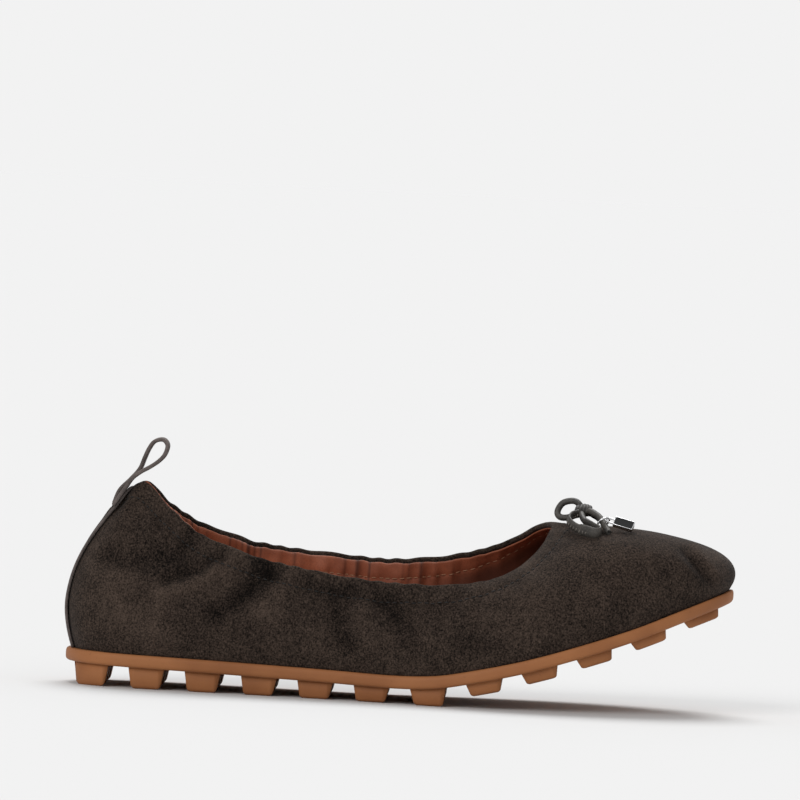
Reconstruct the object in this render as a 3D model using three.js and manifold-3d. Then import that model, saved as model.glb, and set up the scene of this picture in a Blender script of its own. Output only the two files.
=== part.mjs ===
// A right ballet flat: suede upper with a gathered collar, studded rubber sole, heel tape with a pull loop,
// and a cord bow with a small charm. Millimetres, +X to the toe, +Y to the inner side of the foot, +Z up.

import * as THREE from 'three';
import { mergeVertices } from 'three/addons/utils/BufferGeometryUtils.js';
import Module from 'manifold-3d';

const solids = await Module();
solids.setup();

// Driving dimensions
const lastLength = 250;
const ballWidth = 76;
const collarHeight = 76.5;
const toeSpring = 38;
const heelSetback = 4;
const toeSetback = 1.2;
const wall = 1.9;
const pieceGap = 0.3;

// Sole
const bandThickness = 4.8;
const bandOverhang = 1.8;
const heelOverhang = 2.6;
const heelRound = 0.08;
const heelStudHeight = 8.3;
const forefootStudHeight = 5.2;
const toeStudHeight = 3.1;
const studCount = 12;
const restingStuds = 7;
const firstStud = 12.1;
const lastStud = 14.2;
const studLength = 13.9;
const studWidth = 12;
const studSpacing = 6.4;
const studInset = 1.7;
const studTaper = 1.7;
const studCorner = 2;
const studCornerShare = 0.33;
const studChamfer = 1;
const studRoot = 2;
const fewestAcross = 3;

// Insole
const insoleThickness = 2;
const insoleClearance = 0.8;

// Collar casing
const casingDepth = 7.5;
const casingStep = 0.4;
const casingRamp = 1.2;

// Heel tape and pull loop
const tapeWidth = 16;
const tapeThickness = 1.1;
const tapeClearance = 0.45;
const tapeFoot = 1;
const tapeTop = 3.2;
const pullLoopHeight = 20;
const pullLoopWidth = 8;
const pullLoopThickness = 1.5;

// Bow
const cordDiameter = 2.4;
const knotLength = 8.2;
const knotWidth = 6.3;
const knotHeight = 4.2;
const knotAhead = 11.4;
const knotLift = 5.8;
const bowReach = 10;

// Charm and its ring
const ringDiameter = 5.4;
const ringWire = 0.7;
const charmLength = 7.6;
const charmWidth = 3.8;
const charmThickness = 2.1;
const charmChamfer = 0.3;
const shackleWire = 0.7;
const shackleLength = 3.2;
const shackleWidth = 2.5;
const shackleShoulder = 0.9;
const shackleRounding = 0.7;
const charmDroop = THREE.MathUtils.degToRad(21);

// Height of the sole's underside along its length: a share of the heel stud's height, and a share of the
// toe spring.
const SOLE_CURVE = [
  { at: 0.00, stud: 1.00, spring: 0.000 },
  { at: 0.10, stud: 0.95, spring: 0.000 },
  { at: 0.20, stud: 0.90, spring: 0.000 },
  { at: 0.30, stud: 0.83, spring: 0.000 },
  { at: 0.40, stud: 0.76, spring: 0.000 },
  { at: 0.50, stud: 0.69, spring: 0.000 },
  { at: 0.56, stud: 0.66, spring: 0.028 },
  { at: 0.61, stud: 0.64, spring: 0.096 },
  { at: 0.69, stud: 0.62, spring: 0.232 },
  { at: 0.77, stud: 0.60, spring: 0.404 },
  { at: 0.85, stud: 0.60, spring: 0.592 },
  { at: 0.92, stud: 0.60, spring: 0.785 },
  { at: 1.00, stud: 0.60, spring: 1.000 },
];

// Upper, a row for each section. foot is the feather line, where upper meets sole, as a share of that line's
// length. top is the collar's outer edge, as a share of the last's length. Each out and in column is a share of
// the ball's width to the outer or inner side, and each high column is a share of the collar's height.
// lean and rise bend the section outwards and upwards from the sole. reach and drop bend it outwards and
// downwards from the collar. All four are shares of the collar's height.
const SECTIONS = [
  { foot: 0.000, footOut: 0.000, footIn: 0.000, top: 0.081, topOut: 0.000, topIn: 0.000,
    highOut: 0.926, highIn: 0.926, lean: 0.078, rise: 0.224, reach: 0.200, drop: 0.210 },
  { foot: 0.012, footOut: 0.150, footIn: 0.150, top: 0.093, topOut: 0.058, topIn: 0.058,
    highOut: 0.962, highIn: 0.962, lean: 0.074, rise: 0.226, reach: 0.190, drop: 0.222 },
  { foot: 0.038, footOut: 0.250, footIn: 0.246, top: 0.115, topOut: 0.118, topIn: 0.118,
    highOut: 0.998, highIn: 0.994, lean: 0.058, rise: 0.228, reach: 0.150, drop: 0.240 },
  { foot: 0.086, footOut: 0.322, footIn: 0.314, top: 0.149, topOut: 0.188, topIn: 0.184,
    highOut: 0.893, highIn: 0.888, lean: 0.052, rise: 0.215, reach: 0.095, drop: 0.215 },
  { foot: 0.170, footOut: 0.345, footIn: 0.333, top: 0.205, topOut: 0.262, topIn: 0.255,
    highOut: 0.762, highIn: 0.790, lean: 0.050, rise: 0.180, reach: 0.062, drop: 0.175 },
  { foot: 0.270, footOut: 0.352, footIn: 0.318, top: 0.294, topOut: 0.312, topIn: 0.300,
    highOut: 0.668, highIn: 0.710, lean: 0.050, rise: 0.165, reach: 0.040, drop: 0.155 },
  { foot: 0.372, footOut: 0.368, footIn: 0.286, top: 0.389, topOut: 0.331, topIn: 0.308,
    highOut: 0.612, highIn: 0.682, lean: 0.048, rise: 0.155, reach: 0.034, drop: 0.140 },
  { foot: 0.474, footOut: 0.408, footIn: 0.284, top: 0.481, topOut: 0.340, topIn: 0.316,
    highOut: 0.583, highIn: 0.667, lean: 0.042, rise: 0.150, reach: 0.042, drop: 0.135 },
  { foot: 0.574, footOut: 0.470, footIn: 0.352, top: 0.568, topOut: 0.350, topIn: 0.322,
    highOut: 0.586, highIn: 0.700, lean: 0.038, rise: 0.145, reach: 0.080, drop: 0.118 },
  { foot: 0.668, footOut: 0.504, footIn: 0.438, top: 0.628, topOut: 0.338, topIn: 0.310,
    highOut: 0.617, highIn: 0.750, lean: 0.034, rise: 0.145, reach: 0.135, drop: 0.080 },
  { foot: 0.757, footOut: 0.492, footIn: 0.490, top: 0.667, topOut: 0.290, topIn: 0.258,
    highOut: 0.668, highIn: 0.808, lean: 0.032, rise: 0.155, reach: 0.215, drop: 0.070 },
  { foot: 0.838, footOut: 0.428, footIn: 0.488, top: 0.692, topOut: 0.212, topIn: 0.190,
    highOut: 0.733, highIn: 0.862, lean: 0.030, rise: 0.170, reach: 0.300, drop: 0.055 },
  { foot: 0.908, footOut: 0.318, footIn: 0.426, top: 0.707, topOut: 0.140, topIn: 0.128,
    highOut: 0.796, highIn: 0.884, lean: 0.028, rise: 0.190, reach: 0.420, drop: 0.028 },
  { foot: 0.960, footOut: 0.184, footIn: 0.332, top: 0.714, topOut: 0.076, topIn: 0.074,
    highOut: 0.845, highIn: 0.889, lean: 0.085, rise: 0.195, reach: 0.520, drop: -0.005 },
  { foot: 0.990, footOut: 0.052, footIn: 0.198, top: 0.718, topOut: 0.028, topIn: 0.034,
    highOut: 0.873, highIn: 0.888, lean: 0.130, rise: 0.205, reach: 0.555, drop: -0.025 },
  { foot: 1.000, footOut: -0.072, footIn: 0.072, top: 0.720, topOut: 0.000, topIn: 0.000,
    highOut: 0.884, highIn: 0.884, lean: 0.145, rise: 0.205, reach: 0.560, drop: -0.033 },
];

// Rounding of the band's edge: how far in from its outer side, and how high up its thickness.
const BAND_PROFILE = [
  { inward: 0.28, height: 0.00 },
  { inward: 0.07, height: 0.14 },
  { inward: 0.00, height: 0.38 },
  { inward: 0.00, height: 0.66 },
  { inward: 0.06, height: 0.88 },
  { inward: 0.22, height: 1.00 },
];

// Pull loop, from the top of the tape up, over and back down beside it. Its places are shares of the loop's
// height from the back of the collar, and its widths are shares of the loop's width.
const PULL_LOOP = [
  { ahead: -0.08, side: 0.00, up: 0.08, width: 1.20 },
  { ahead: 0.11, side: 0.00, up: 0.29, width: 1.05 },
  { ahead: 0.27, side: 0.00, up: 0.49, width: 1.00 },
  { ahead: 0.35, side: 0.00, up: 0.70, width: 1.00 },
  { ahead: 0.42, side: 0.00, up: 0.87, width: 1.00 },
  { ahead: 0.52, side: -0.02, up: 1.01, width: 1.00 },
  { ahead: 0.68, side: -0.07, up: 1.05, width: 1.00 },
  { ahead: 0.77, side: -0.16, up: 0.95, width: 0.97 },
  { ahead: 0.73, side: -0.26, up: 0.78, width: 0.93 },
  { ahead: 0.62, side: -0.35, up: 0.65, width: 0.85 },
  { ahead: 0.47, side: -0.42, up: 0.54, width: 0.75 },
  { ahead: 0.32, side: -0.43, up: 0.45, width: 0.68 },
  { ahead: 0.16, side: -0.42, up: 0.32, width: 0.62 },
  { ahead: 0.05, side: -0.41, up: 0.15, width: 0.57 },
  { ahead: -0.06, side: -0.42, up: -0.02, width: 0.53 },
  { ahead: -0.17, side: -0.43, up: -0.20, width: 0.50 },
];

// The bow's cord, as shares of the bow's reach from the knot: both loops and both ends begin inside the knot.
const FAR_LOOP = [
  { ahead: -0.09, side: 0.1, up: 0.08 }, { ahead: -0.18, side: 0.22, up: 0.24 },
  { ahead: -0.34, side: 0.32, up: 0.34 }, { ahead: -0.57, side: 0.4, up: 0.33 },
  { ahead: -0.8, side: 0.45, up: 0.23 }, { ahead: -0.95, side: 0.45, up: 0.0 },
  { ahead: -0.96, side: 0.4, up: -0.18 }, { ahead: -0.85, side: 0.3, up: -0.28 },
  { ahead: -0.68, side: 0.22, up: -0.29 }, { ahead: -0.49, side: 0.14, up: -0.25 },
  { ahead: -0.26, side: 0.05, up: -0.16 }, { ahead: -0.06, side: 0.0, up: -0.04 },
];
const NEAR_LOOP = [
  { ahead: 0.0, side: -0.1, up: -0.04 }, { ahead: -0.21, side: -0.3, up: -0.08 },
  { ahead: -0.44, side: -0.52, up: -0.16 }, { ahead: -0.52, side: -0.82, up: -0.32 },
  { ahead: -0.39, side: -1.1, up: -0.48 }, { ahead: -0.13, side: -1.34, up: -0.61 },
  { ahead: 0.19, side: -1.52, up: -0.68 }, { ahead: 0.46, side: -1.62, up: -0.73 },
  { ahead: 0.64, side: -1.52, up: -0.67 }, { ahead: 0.46, side: -1.16, up: -0.56 },
  { ahead: 0.24, side: -0.78, up: -0.35 }, { ahead: 0.12, side: -0.38, up: -0.15 },
  { ahead: 0.02, side: -0.1, up: 0.0 },
];
const NEAR_END = [
  { ahead: -0.06, side: -0.05, up: -0.02 }, { ahead: 0.15, side: -0.28, up: 0.02 },
  { ahead: 0.36, side: -0.5, up: -0.02 }, { ahead: 0.61, side: -0.78, up: -0.18 },
  { ahead: 0.8, side: -1.08, up: -0.4 }, { ahead: 0.96, side: -1.4, up: -0.61 },
];
const FAR_END = [
  { ahead: 0.02, side: 0.08, up: -0.04 }, { ahead: 0.2, side: 0.32, up: -0.08 },
  { ahead: 0.4, side: 0.6, up: -0.16 }, { ahead: 0.56, side: 0.88, up: -0.26 },
  { ahead: 0.68, side: 1.14, up: -0.38 },
];

// The ring hangs loosely round the near end of the cord. It is placed as the cord is.
const RING_PLACE = { ahead: 0.76, side: -0.95, up: -0.33 };
const ringAxis = new THREE.Vector3(0.45, -0.55, -0.70).normalize();

// Fineness of the curved pieces
const perSection = 3;
const alongRib = 9;
const alongInside = 7;
const acrossTape = 6;
const alongTape = 14;
const quarterSides = 2;
const ringSteps = 20;
const shackleSteps = 16;
const walkStep = 0.1;
const faceStep = 0.25;
const ribDivisions = 60;
const seamReach = 0.08;
const seamHalvings = 24;

const across = new THREE.Vector3(0, 1, 0);
const upward = new THREE.Vector3(0, 0, 1);

// Value of a table's column at a place between its rows, on a smooth curve through them
function columnAt(rows, column, at) {
  const last = rows.length - 1;
  const place = THREE.MathUtils.clamp(at, rows[0].at, rows[last].at);
  let i = 0;
  while (i < last - 1 && rows[i + 1].at < place) i += 1;
  const slope = (k) => {
    const before = rows[Math.max(k - 1, 0)];
    const after = rows[Math.min(k + 1, last)];
    return (after[column] - before[column]) / (after.at - before.at);
  };
  const span = rows[i + 1].at - rows[i].at;
  const t = (place - rows[i].at) / span;
  const start = rows[i][column];
  const end = rows[i + 1][column];
  return start * (1 + 2 * t) * (1 - t) ** 2 + end * t ** 2 * (3 - 2 * t)
    + span * (slope(i) * t * (1 - t) ** 2 - slope(i + 1) * t ** 2 * (1 - t));
}

// Heights of the sole's underside and top at a distance from the heel
function undersideAt(x) {
  const at = x / lastLength;
  return columnAt(SOLE_CURVE, 'stud', at) * heelStudHeight + columnAt(SOLE_CURVE, 'spring', at) * toeSpring;
}

function soleTopAt(x) {
  return undersideAt(x) + bandThickness;
}

// Closed curve through the sections: down the outer side to the toe, and back up the inner side.
function aroundSections(pointOf) {
  const outer = SECTIONS.map((row) => pointOf(row, -1, row.footOut, row.topOut, row.highOut));
  const inner = SECTIONS.map((row) => pointOf(row, 1, row.footIn, row.topIn, row.highIn));
  const loop = outer.concat(inner.slice(1, -1).reverse());
  return new THREE.CatmullRomCurve3(loop, true, 'catmullrom', 0.5);
}

const footSpan = lastLength - heelSetback - bandOverhang - toeSetback;
const footCurve = aroundSections((row, side, foot) => (
  new THREE.Vector3(heelSetback + row.foot * footSpan, side * foot * ballWidth, 0)
));
const collarCurve = aroundSections((row, side, foot, top, high) => (
  new THREE.Vector3(row.top * lastLength, side * top * ballWidth, high * collarHeight)
));
const footBend = aroundSections((row) => new THREE.Vector3(row.lean, row.rise, 0).multiplyScalar(collarHeight));
const collarBend = aroundSections((row) => new THREE.Vector3(row.reach, row.drop, 0).multiplyScalar(collarHeight));
const aroundCount = perSection * 2 * (SECTIONS.length - 1);

function outwardAt(turn) {
  const tangent = footCurve.getTangent(turn);
  return new THREE.Vector3(tangent.y, -tangent.x, 0).normalize();
}

// How far the sole reaches past the upper, more round the heel
function overhangAt(x) {
  const share = THREE.MathUtils.clamp(1 - (x - heelSetback) / (heelRound * lastLength), 0, 1);
  return THREE.MathUtils.lerp(bandOverhang, heelOverhang, share);
}

// Outline of the upper's foot in plan, moved outwards by the amount that outsetAt gives
function planRing(outsetAt) {
  return Array.from({ length: aroundCount }, (_, i) => {
    const turn = i / aroundCount;
    const point = footCurve.getPoint(turn);
    return point.addScaledVector(outwardAt(turn), outsetAt(point.x));
  });
}

// Closed body through rings of as many points each, counter-clockwise seen along the stack, with its two ends
// closed by the triangles that capOf gives.
function loft(rings, capOf) {
  const count = rings[0].length;
  const positions = rings.flat().flatMap((p) => [p.x, p.y, p.z]);
  const faces = [];
  for (let ring = 0; ring < rings.length - 1; ring += 1) {
    for (let i = 0; i < count; i += 1) {
      const next = (i + 1) % count;
      const low = ring * count;
      const high = low + count;
      faces.push(low + i, low + next, high + next, low + i, high + next, high + i);
    }
  }
  const top = (rings.length - 1) * count;
  for (const [a, b, c] of capOf(count)) {
    faces.push(a, c, b);
    faces.push(top + a, top + b, top + c);
  }
  return bodyOf(positions, faces);
}

function bodyOf(positions, faces) {
  const geometry = new THREE.BufferGeometry();
  geometry.setAttribute('position', new THREE.Float32BufferAttribute(positions, 3));
  geometry.setIndex(faces);
  return geometry;
}

// Cap between the two sides of a long outline, and cap of a convex one
function stripCap(count) {
  const faces = [];
  for (let i = 0; i < count / 2; i += 1) {
    const back = (count - i) % count;
    if (back !== i) faces.push([i, count - i - 1, back]);
    if (count - i - 1 !== i + 1) faces.push([i, i + 1, count - i - 1]);
  }
  return faces;
}

function fanCap(count) {
  return Array.from({ length: count - 2 }, (_, i) => [0, i + 1, i + 2]);
}

// Solids joined into one
function joined(geometries) {
  const parts = geometries.map((geometry) => {
    const bare = geometry.clone();
    bare.deleteAttribute('normal');
    bare.deleteAttribute('uv');
    const merged = mergeVertices(bare, 1e-3);
    return new solids.Manifold(new solids.Mesh({
      numProp: 3,
      vertProperties: merged.attributes.position.array,
      triVerts: new Uint32Array(merged.index.array),
    }));
  });
  const whole = parts.reduce((sum, part) => sum.add(part)).getMesh();
  return bodyOf(Array.from(whole.vertProperties), Array.from(whole.triVerts));
}

// Outsole: the band, with its studs

function bandBody() {
  const rings = BAND_PROFILE.map((row) => (
    planRing((x) => overhangAt(x) - row.inward * bandThickness).map((p) => (
      p.setZ(undersideAt(p.x) + row.height * bandThickness)
    ))
  ));
  return loft(rings, stripCap);
}

const studEdge = planRing((x) => overhangAt(x) - studInset);

// Side position of the studs' outer edge at a distance from the heel
function studEdgeAt(x, side) {
  const half = aroundCount / 2;
  const line = side < 0 ? studEdge.slice(0, half + 1) : [studEdge[0], ...studEdge.slice(half).reverse()];
  const after = Math.max(1, line.findIndex((p) => p.x > x));
  const share = (x - line[after - 1].x) / (line[after].x - line[after - 1].x);
  return THREE.MathUtils.lerp(line[after - 1].y, line[after].y, share);
}

// Distance from the heel of a place so far along the curved underside, and the whole way along it
function placeAlongSole(distance) {
  let travelled = 0;
  let x = 0;
  while (travelled < distance && x < lastLength) {
    travelled += Math.hypot(walkStep, undersideAt(x + walkStep) - undersideAt(x));
    x += walkStep;
  }
  return x;
}

const soleSteps = Array.from({ length: Math.round(lastLength / walkStep) }, (_, i) => i * walkStep);
const wayAlongSole = soleSteps.reduce((way, x) => (
  way + Math.hypot(walkStep, undersideAt(x + walkStep) - undersideAt(x))
), 0);
const studPitch = (wayAlongSole - firstStud - lastStud) / (studCount - 1);

// One stud: its plan outline drawn down along the sole's normal, tapering to a chamfered foot.
function studBody(plan, centre, slope, height, rests) {
  const levels = [
    { depth: -studRoot, inward: 0 },
    { depth: height - studChamfer, inward: studTaper },
    { depth: height, inward: studTaper + studChamfer },
  ];
  const size = new THREE.Box2().setFromPoints(plan).getSize(new THREE.Vector2());
  const rings = levels.map(({ depth, inward }) => plan.map((p) => {
    const shrunk = new THREE.Vector2(
      centre.x + (p.x - centre.x) * (1 - 2 * inward / size.x),
      centre.y + (p.y - centre.y) * (1 - 2 * inward / size.y),
    );
    const lowered = new THREE.Vector3(
      shrunk.x + Math.sin(slope) * depth,
      shrunk.y,
      undersideAt(shrunk.x) - Math.cos(slope) * depth,
    );
    if (rests && depth > 0) lowered.z = height - depth;
    return lowered;
  }));
  return loft(rings.reverse(), fanCap);
}

// Plan outline of a stud between two side positions, with cut corners. Its outer edges follow the sole.
function studPlan(x, low, high) {
  const start = x - studLength / 2;
  const end = x + studLength / 2;
  const lowAt = (place) => Math.max(low, studEdgeAt(place, -1));
  const highAt = (place) => Math.min(high, studEdgeAt(place, 1));
  const cornerAt = (place) => Math.min(studCorner, studCornerShare * (highAt(place) - lowAt(place)));
  return [
    new THREE.Vector2(start, lowAt(start) + cornerAt(start)),
    new THREE.Vector2(start + studCorner, lowAt(start + studCorner)),
    new THREE.Vector2(x, lowAt(x)),
    new THREE.Vector2(end - studCorner, lowAt(end - studCorner)),
    new THREE.Vector2(end, lowAt(end) + cornerAt(end)),
    new THREE.Vector2(end, highAt(end) - cornerAt(end)),
    new THREE.Vector2(end - studCorner, highAt(end - studCorner)),
    new THREE.Vector2(x, highAt(x)),
    new THREE.Vector2(start + studCorner, highAt(start + studCorner)),
    new THREE.Vector2(start, highAt(start) - cornerAt(start)),
  ];
}

function studRow(row) {
  const x = placeAlongSole(firstStud + row * studPitch);
  const slope = Math.atan2(undersideAt(x + studLength / 2) - undersideAt(x - studLength / 2), studLength);
  const rests = row < restingStuds;
  const past = (row - restingStuds + 1) / (studCount - restingStuds);
  const height = rests ? undersideAt(x) : THREE.MathUtils.lerp(forefootStudHeight, toeStudHeight, past);
  const outer = studEdgeAt(x, -1);
  const inner = studEdgeAt(x, 1);
  const fitting = Math.round((inner - outer + studSpacing) / (studWidth + studSpacing));
  const number = Math.max(fewestAcross, fitting);
  const width = (inner - outer - (number - 1) * studSpacing) / number;
  return Array.from({ length: number }, (_, i) => {
    const low = i === 0 ? -Infinity : outer + i * (width + studSpacing);
    const high = i === number - 1 ? Infinity : outer + i * (width + studSpacing) + width;
    const middle = outer + i * (width + studSpacing) + width / 2;
    return studBody(studPlan(x, low, high), new THREE.Vector2(x, middle), slope, height, rests);
  });
}

function outsoleGeometry() {
  const studs = Array.from({ length: studCount }, (_, row) => studRow(row)).flat();
  return joined([bandBody(), ...studs]);
}

// Insole: a flat sheet inside the upper

function insoleGeometry() {
  const lift = [0, insoleThickness];
  return loft(lift.map((up) => (
    planRing(() => -wall - insoleClearance).map((p) => p.setZ(soleTopAt(p.x) + pieceGap + up))
  )), stripCap);
}

// Upper: a section drawn from sole to collar at each place around it

const ribs = new Map();

function ribAt(turn) {
  const place = THREE.MathUtils.euclideanModulo(turn, 1);
  if (!ribs.has(place)) {
    const outward = outwardAt(place);
    const foot = footCurve.getPoint(place);
    foot.z = soleTopAt(foot.x) + pieceGap;
    const collar = collarCurve.getPoint(place);
    const low = footBend.getPoint(place);
    const high = collarBend.getPoint(place);
    const footHandle = foot.clone().addScaledVector(outward, low.x).addScaledVector(upward, low.y);
    const collarHandle = collar.clone().addScaledVector(outward, high.x).addScaledVector(upward, -high.y);
    const rib = new THREE.CubicBezierCurve3(foot, footHandle, collarHandle, collar);
    rib.arcLengthDivisions = ribDivisions;
    ribs.set(place, rib);
  }
  return ribs.get(place);
}

// Outward direction of the upper's surface
function faceAt(turn, share) {
  const step = faceStep / aroundCount;
  const along = ribAt(turn).getTangentAt(share);
  const round = ribAt(turn + step).getPointAt(share).sub(ribAt(turn - step).getPointAt(share));
  return round.cross(along).normalize();
}

// Point of the upper's surface, moved outwards by an amount
function onUpper(turn, share, outset) {
  return ribAt(turn).getPointAt(share).addScaledVector(faceAt(turn, share), outset);
}

// One section of the wall: up its outside, over the collar and down its inside.
function wallSection(turn) {
  const length = ribAt(turn).getLength();
  const casingStart = 1 - casingDepth / length;
  const casingFull = 1 - (casingDepth - casingRamp) / length;
  const outside = Array.from({ length: alongRib }, (_, i) => (
    onUpper(turn, casingStart * i / (alongRib - 1), 0)
  ));
  const casing = [casingFull, (1 + casingFull) / 2, 1].map((share) => onUpper(turn, share, casingStep));
  const inside = Array.from({ length: alongInside }, (_, i) => (
    onUpper(turn, 1 - i / (alongInside - 1), -wall)
  ));
  const foot = outside[0];
  const innerFoot = foot.clone().addScaledVector(outwardAt(turn), -wall);
  innerFoot.z = soleTopAt(innerFoot.x) + pieceGap;
  inside[alongInside - 1] = innerFoot;
  return [...outside, ...casing, ...inside];
}

function upperGeometry() {
  const sections = Array.from({ length: aroundCount }, (_, i) => wallSection(i / aroundCount));
  const count = sections[0].length;
  const faces = [];
  sections.forEach((_, i) => {
    const here = i * count;
    const next = ((i + 1) % aroundCount) * count;
    for (let k = 0; k < count; k += 1) {
      const above = (k + 1) % count;
      faces.push(here + k, next + k, next + above, here + k, next + above, here + above);
    }
  });
  return bodyOf(sections.flat().flatMap((p) => [p.x, p.y, p.z]), faces);
}

// Heel tape: a strip over the back seam, cut from the upper's own surface

// Place around the upper where a section passes a side position
function turnAtSide(share, side) {
  let low = -seamReach;
  let high = seamReach;
  for (let step = 0; step < seamHalvings; step += 1) {
    const middle = (low + high) / 2;
    if (ribAt(middle).getPointAt(share).y > side) low = middle;
    else high = middle;
  }
  return (low + high) / 2;
}

function tapeStrip() {
  const height = ribAt(0).getLength();
  const bottom = tapeFoot / height;
  const top = 1 - tapeTop / height;
  const rings = Array.from({ length: alongTape }, (_, row) => {
    const share = THREE.MathUtils.lerp(bottom, top, row / (alongTape - 1));
    const sides = Array.from({ length: acrossTape + 1 }, (_, i) => (i / acrossTape - 0.5) * tapeWidth);
    const fromCollar = (1 - share) * height / casingDepth;
    const step = casingStep * THREE.MathUtils.clamp(2 - fromCollar, 0, 1);
    const place = (side, outset) => onUpper(turnAtSide(share, side), share, outset + step);
    const under = sides.map((side) => place(side, tapeClearance));
    const over = sides.map((side) => place(side, tapeClearance + tapeThickness));
    return [...under, ...over.reverse()];
  });
  return loft(rings, (count) => (
    Array.from({ length: count / 2 - 1 }, (_, i) => [
      [i, i + 1, count - 2 - i],
      [i, count - 2 - i, count - 1 - i],
    ]).flat()
  ));
}

// Place given by a table's row, as shares of a size from a start, and the smooth curve through such rows
function placeOf(row, start, size) {
  return new THREE.Vector3(row.ahead, row.side, row.up).multiplyScalar(size).add(start);
}

function routeThrough(rows, start, size) {
  return new THREE.CatmullRomCurve3(rows.map((row) => placeOf(row, start, size)));
}

function loopStrip() {
  const route = routeThrough(PULL_LOOP, collarCurve.getPoint(0), pullLoopHeight);
  const widths = new THREE.CatmullRomCurve3(PULL_LOOP.map((row) => new THREE.Vector3(row.width, 0, 0)));
  const steps = 2 * (PULL_LOOP.length - 1);
  const half = pullLoopThickness / 2;
  const rings = Array.from({ length: steps + 1 }, (_, i) => {
    const centre = route.getPoint(i / steps);
    const ahead = route.getTangent(i / steps);
    const outwards = new THREE.Vector3(-ahead.z, 0, ahead.x).normalize();
    const reach = widths.getPoint(i / steps).x * pullLoopWidth / 2;
    const corner = (side, out) => (
      centre.clone().addScaledVector(across, side * reach).addScaledVector(outwards, out * half)
    );
    return [corner(-1, -1), corner(1, -1), corner(1, 1), corner(-1, 1)];
  });
  return loft(rings, fanCap);
}

function heelTapeGeometry() {
  return joined([tapeStrip(), loopStrip()]);
}

// Bow: one cord with its knot, two loops and two ends

const knotCentre = collarCurve.getPoint(0.5).add(new THREE.Vector3(knotAhead, 0, knotLift));

function cordAlong(rows) {
  const round = new THREE.Shape().absarc(0, 0, cordDiameter / 2, 0, 2 * Math.PI);
  return new THREE.ExtrudeGeometry(round, {
    steps: 2 * rows.length,
    curveSegments: 2 * quarterSides,
    extrudePath: routeThrough(rows, knotCentre, bowReach),
  });
}

function bowGeometry() {
  const knot = new THREE.SphereGeometry(0.5, 12, 8);
  knot.scale(knotLength, knotWidth, knotHeight);
  knot.translate(...knotCentre.toArray());
  return joined([knot, ...[FAR_LOOP, NEAR_LOOP, NEAR_END, FAR_END].map(cordAlong)]);
}

// Ring round the near end of the cord

const ringRadius = (ringDiameter - ringWire) / 2;
const ringCentre = placeOf(RING_PLACE, knotCentre, bowReach);

function ringGeometry() {
  const ring = new THREE.TorusGeometry(ringRadius, ringWire / 2, 4 * quarterSides, ringSteps);
  ring.applyQuaternion(new THREE.Quaternion().setFromUnitVectors(upward, ringAxis));
  ring.translate(...ringCentre.toArray());
  return ring;
}

// Charm: a plain tag and its shackle, which hangs on the ring where the ring is furthest forward.

const forward = new THREE.Vector3(1, 0, 0);
const toContact = forward.clone().addScaledVector(ringAxis, -forward.dot(ringAxis)).normalize();
const hinge = ringCentre.clone().addScaledVector(toContact, ringRadius);
const hingeAxis = ringAxis.clone().cross(toContact);

function charmGeometry() {
  const length = charmLength - 2 * charmChamfer;
  const width = charmWidth - 2 * charmChamfer;
  const face = new THREE.Shape();
  face.moveTo(0, -width / 2);
  face.lineTo(length, -width / 2);
  face.lineTo(length, width / 2);
  face.lineTo(0, width / 2);
  face.closePath();
  const tag = new THREE.ExtrudeGeometry(face, {
    depth: charmThickness - 2 * charmChamfer,
    bevelThickness: charmChamfer,
    bevelSize: charmChamfer,
    bevelSegments: 1,
  });
  tag.translate(charmChamfer, 0, charmChamfer - charmThickness / 2);
  const half = (shackleWidth - shackleWire) / 2;
  const bend = shackleWire / 2 - shackleLength;
  const bow = new THREE.CatmullRomCurve3([
    new THREE.Vector3(shackleWire, -half, 0),
    new THREE.Vector3(bend / 2, -half, 0),
    new THREE.Vector3(bend * shackleShoulder, -half * shackleRounding, 0),
    new THREE.Vector3(bend, 0, 0),
    new THREE.Vector3(bend * shackleShoulder, half * shackleRounding, 0),
    new THREE.Vector3(bend / 2, half, 0),
    new THREE.Vector3(shackleWire, half, 0),
  ]);
  const wire = new THREE.Shape().absarc(0, 0, shackleWire / 2, 0, 2 * Math.PI);
  const shackle = new THREE.ExtrudeGeometry(wire, {
    steps: shackleSteps,
    curveSegments: 2 * quarterSides,
    extrudePath: bow,
  });
  const whole = joined([tag, shackle]);
  const lengthwise = new THREE.Vector3(Math.cos(charmDroop), 0, -Math.sin(charmDroop));
  lengthwise.addScaledVector(hingeAxis, -lengthwise.dot(hingeAxis)).normalize();
  const sideways = hingeAxis.clone().cross(lengthwise);
  whole.translate(shackleLength - shackleWire - ringWire / 2 - pieceGap, 0, 0);
  whole.applyMatrix4(new THREE.Matrix4().makeBasis(lengthwise, sideways, hingeAxis));
  whole.translate(...hinge.toArray());
  return whole;
}

// Materials and the finished shoe

const suede = new THREE.MeshStandardMaterial({ color: 0x362d28, roughness: 0.95, metalness: 0 });
const rubber = new THREE.MeshStandardMaterial({ color: 0x9c6844, roughness: 0.55, metalness: 0 });
const lining = new THREE.MeshStandardMaterial({ color: 0x7a4733, roughness: 0.6, metalness: 0 });
const tapeLeather = new THREE.MeshStandardMaterial({ color: 0x5b524f, roughness: 0.7, metalness: 0 });
const cordLeather = new THREE.MeshStandardMaterial({ color: 0x55504d, roughness: 0.6, metalness: 0 });
const silver = new THREE.MeshStandardMaterial({ color: 0xc9c9c9, roughness: 0.2, metalness: 1 });

function named(name, geometry, material) {
  const mesh = new THREE.Mesh(geometry, material);
  mesh.name = name;
  return mesh;
}

const shoe = new THREE.Group();
shoe.add(named('outsole', outsoleGeometry(), rubber));
shoe.add(named('insole', insoleGeometry(), lining));
shoe.add(named('upper', upperGeometry(), suede));
shoe.add(named('heel_tape', heelTapeGeometry(), tapeLeather));
shoe.add(named('charm_ring', ringGeometry(), silver));
shoe.add(named('charm', charmGeometry(), silver));

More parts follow.
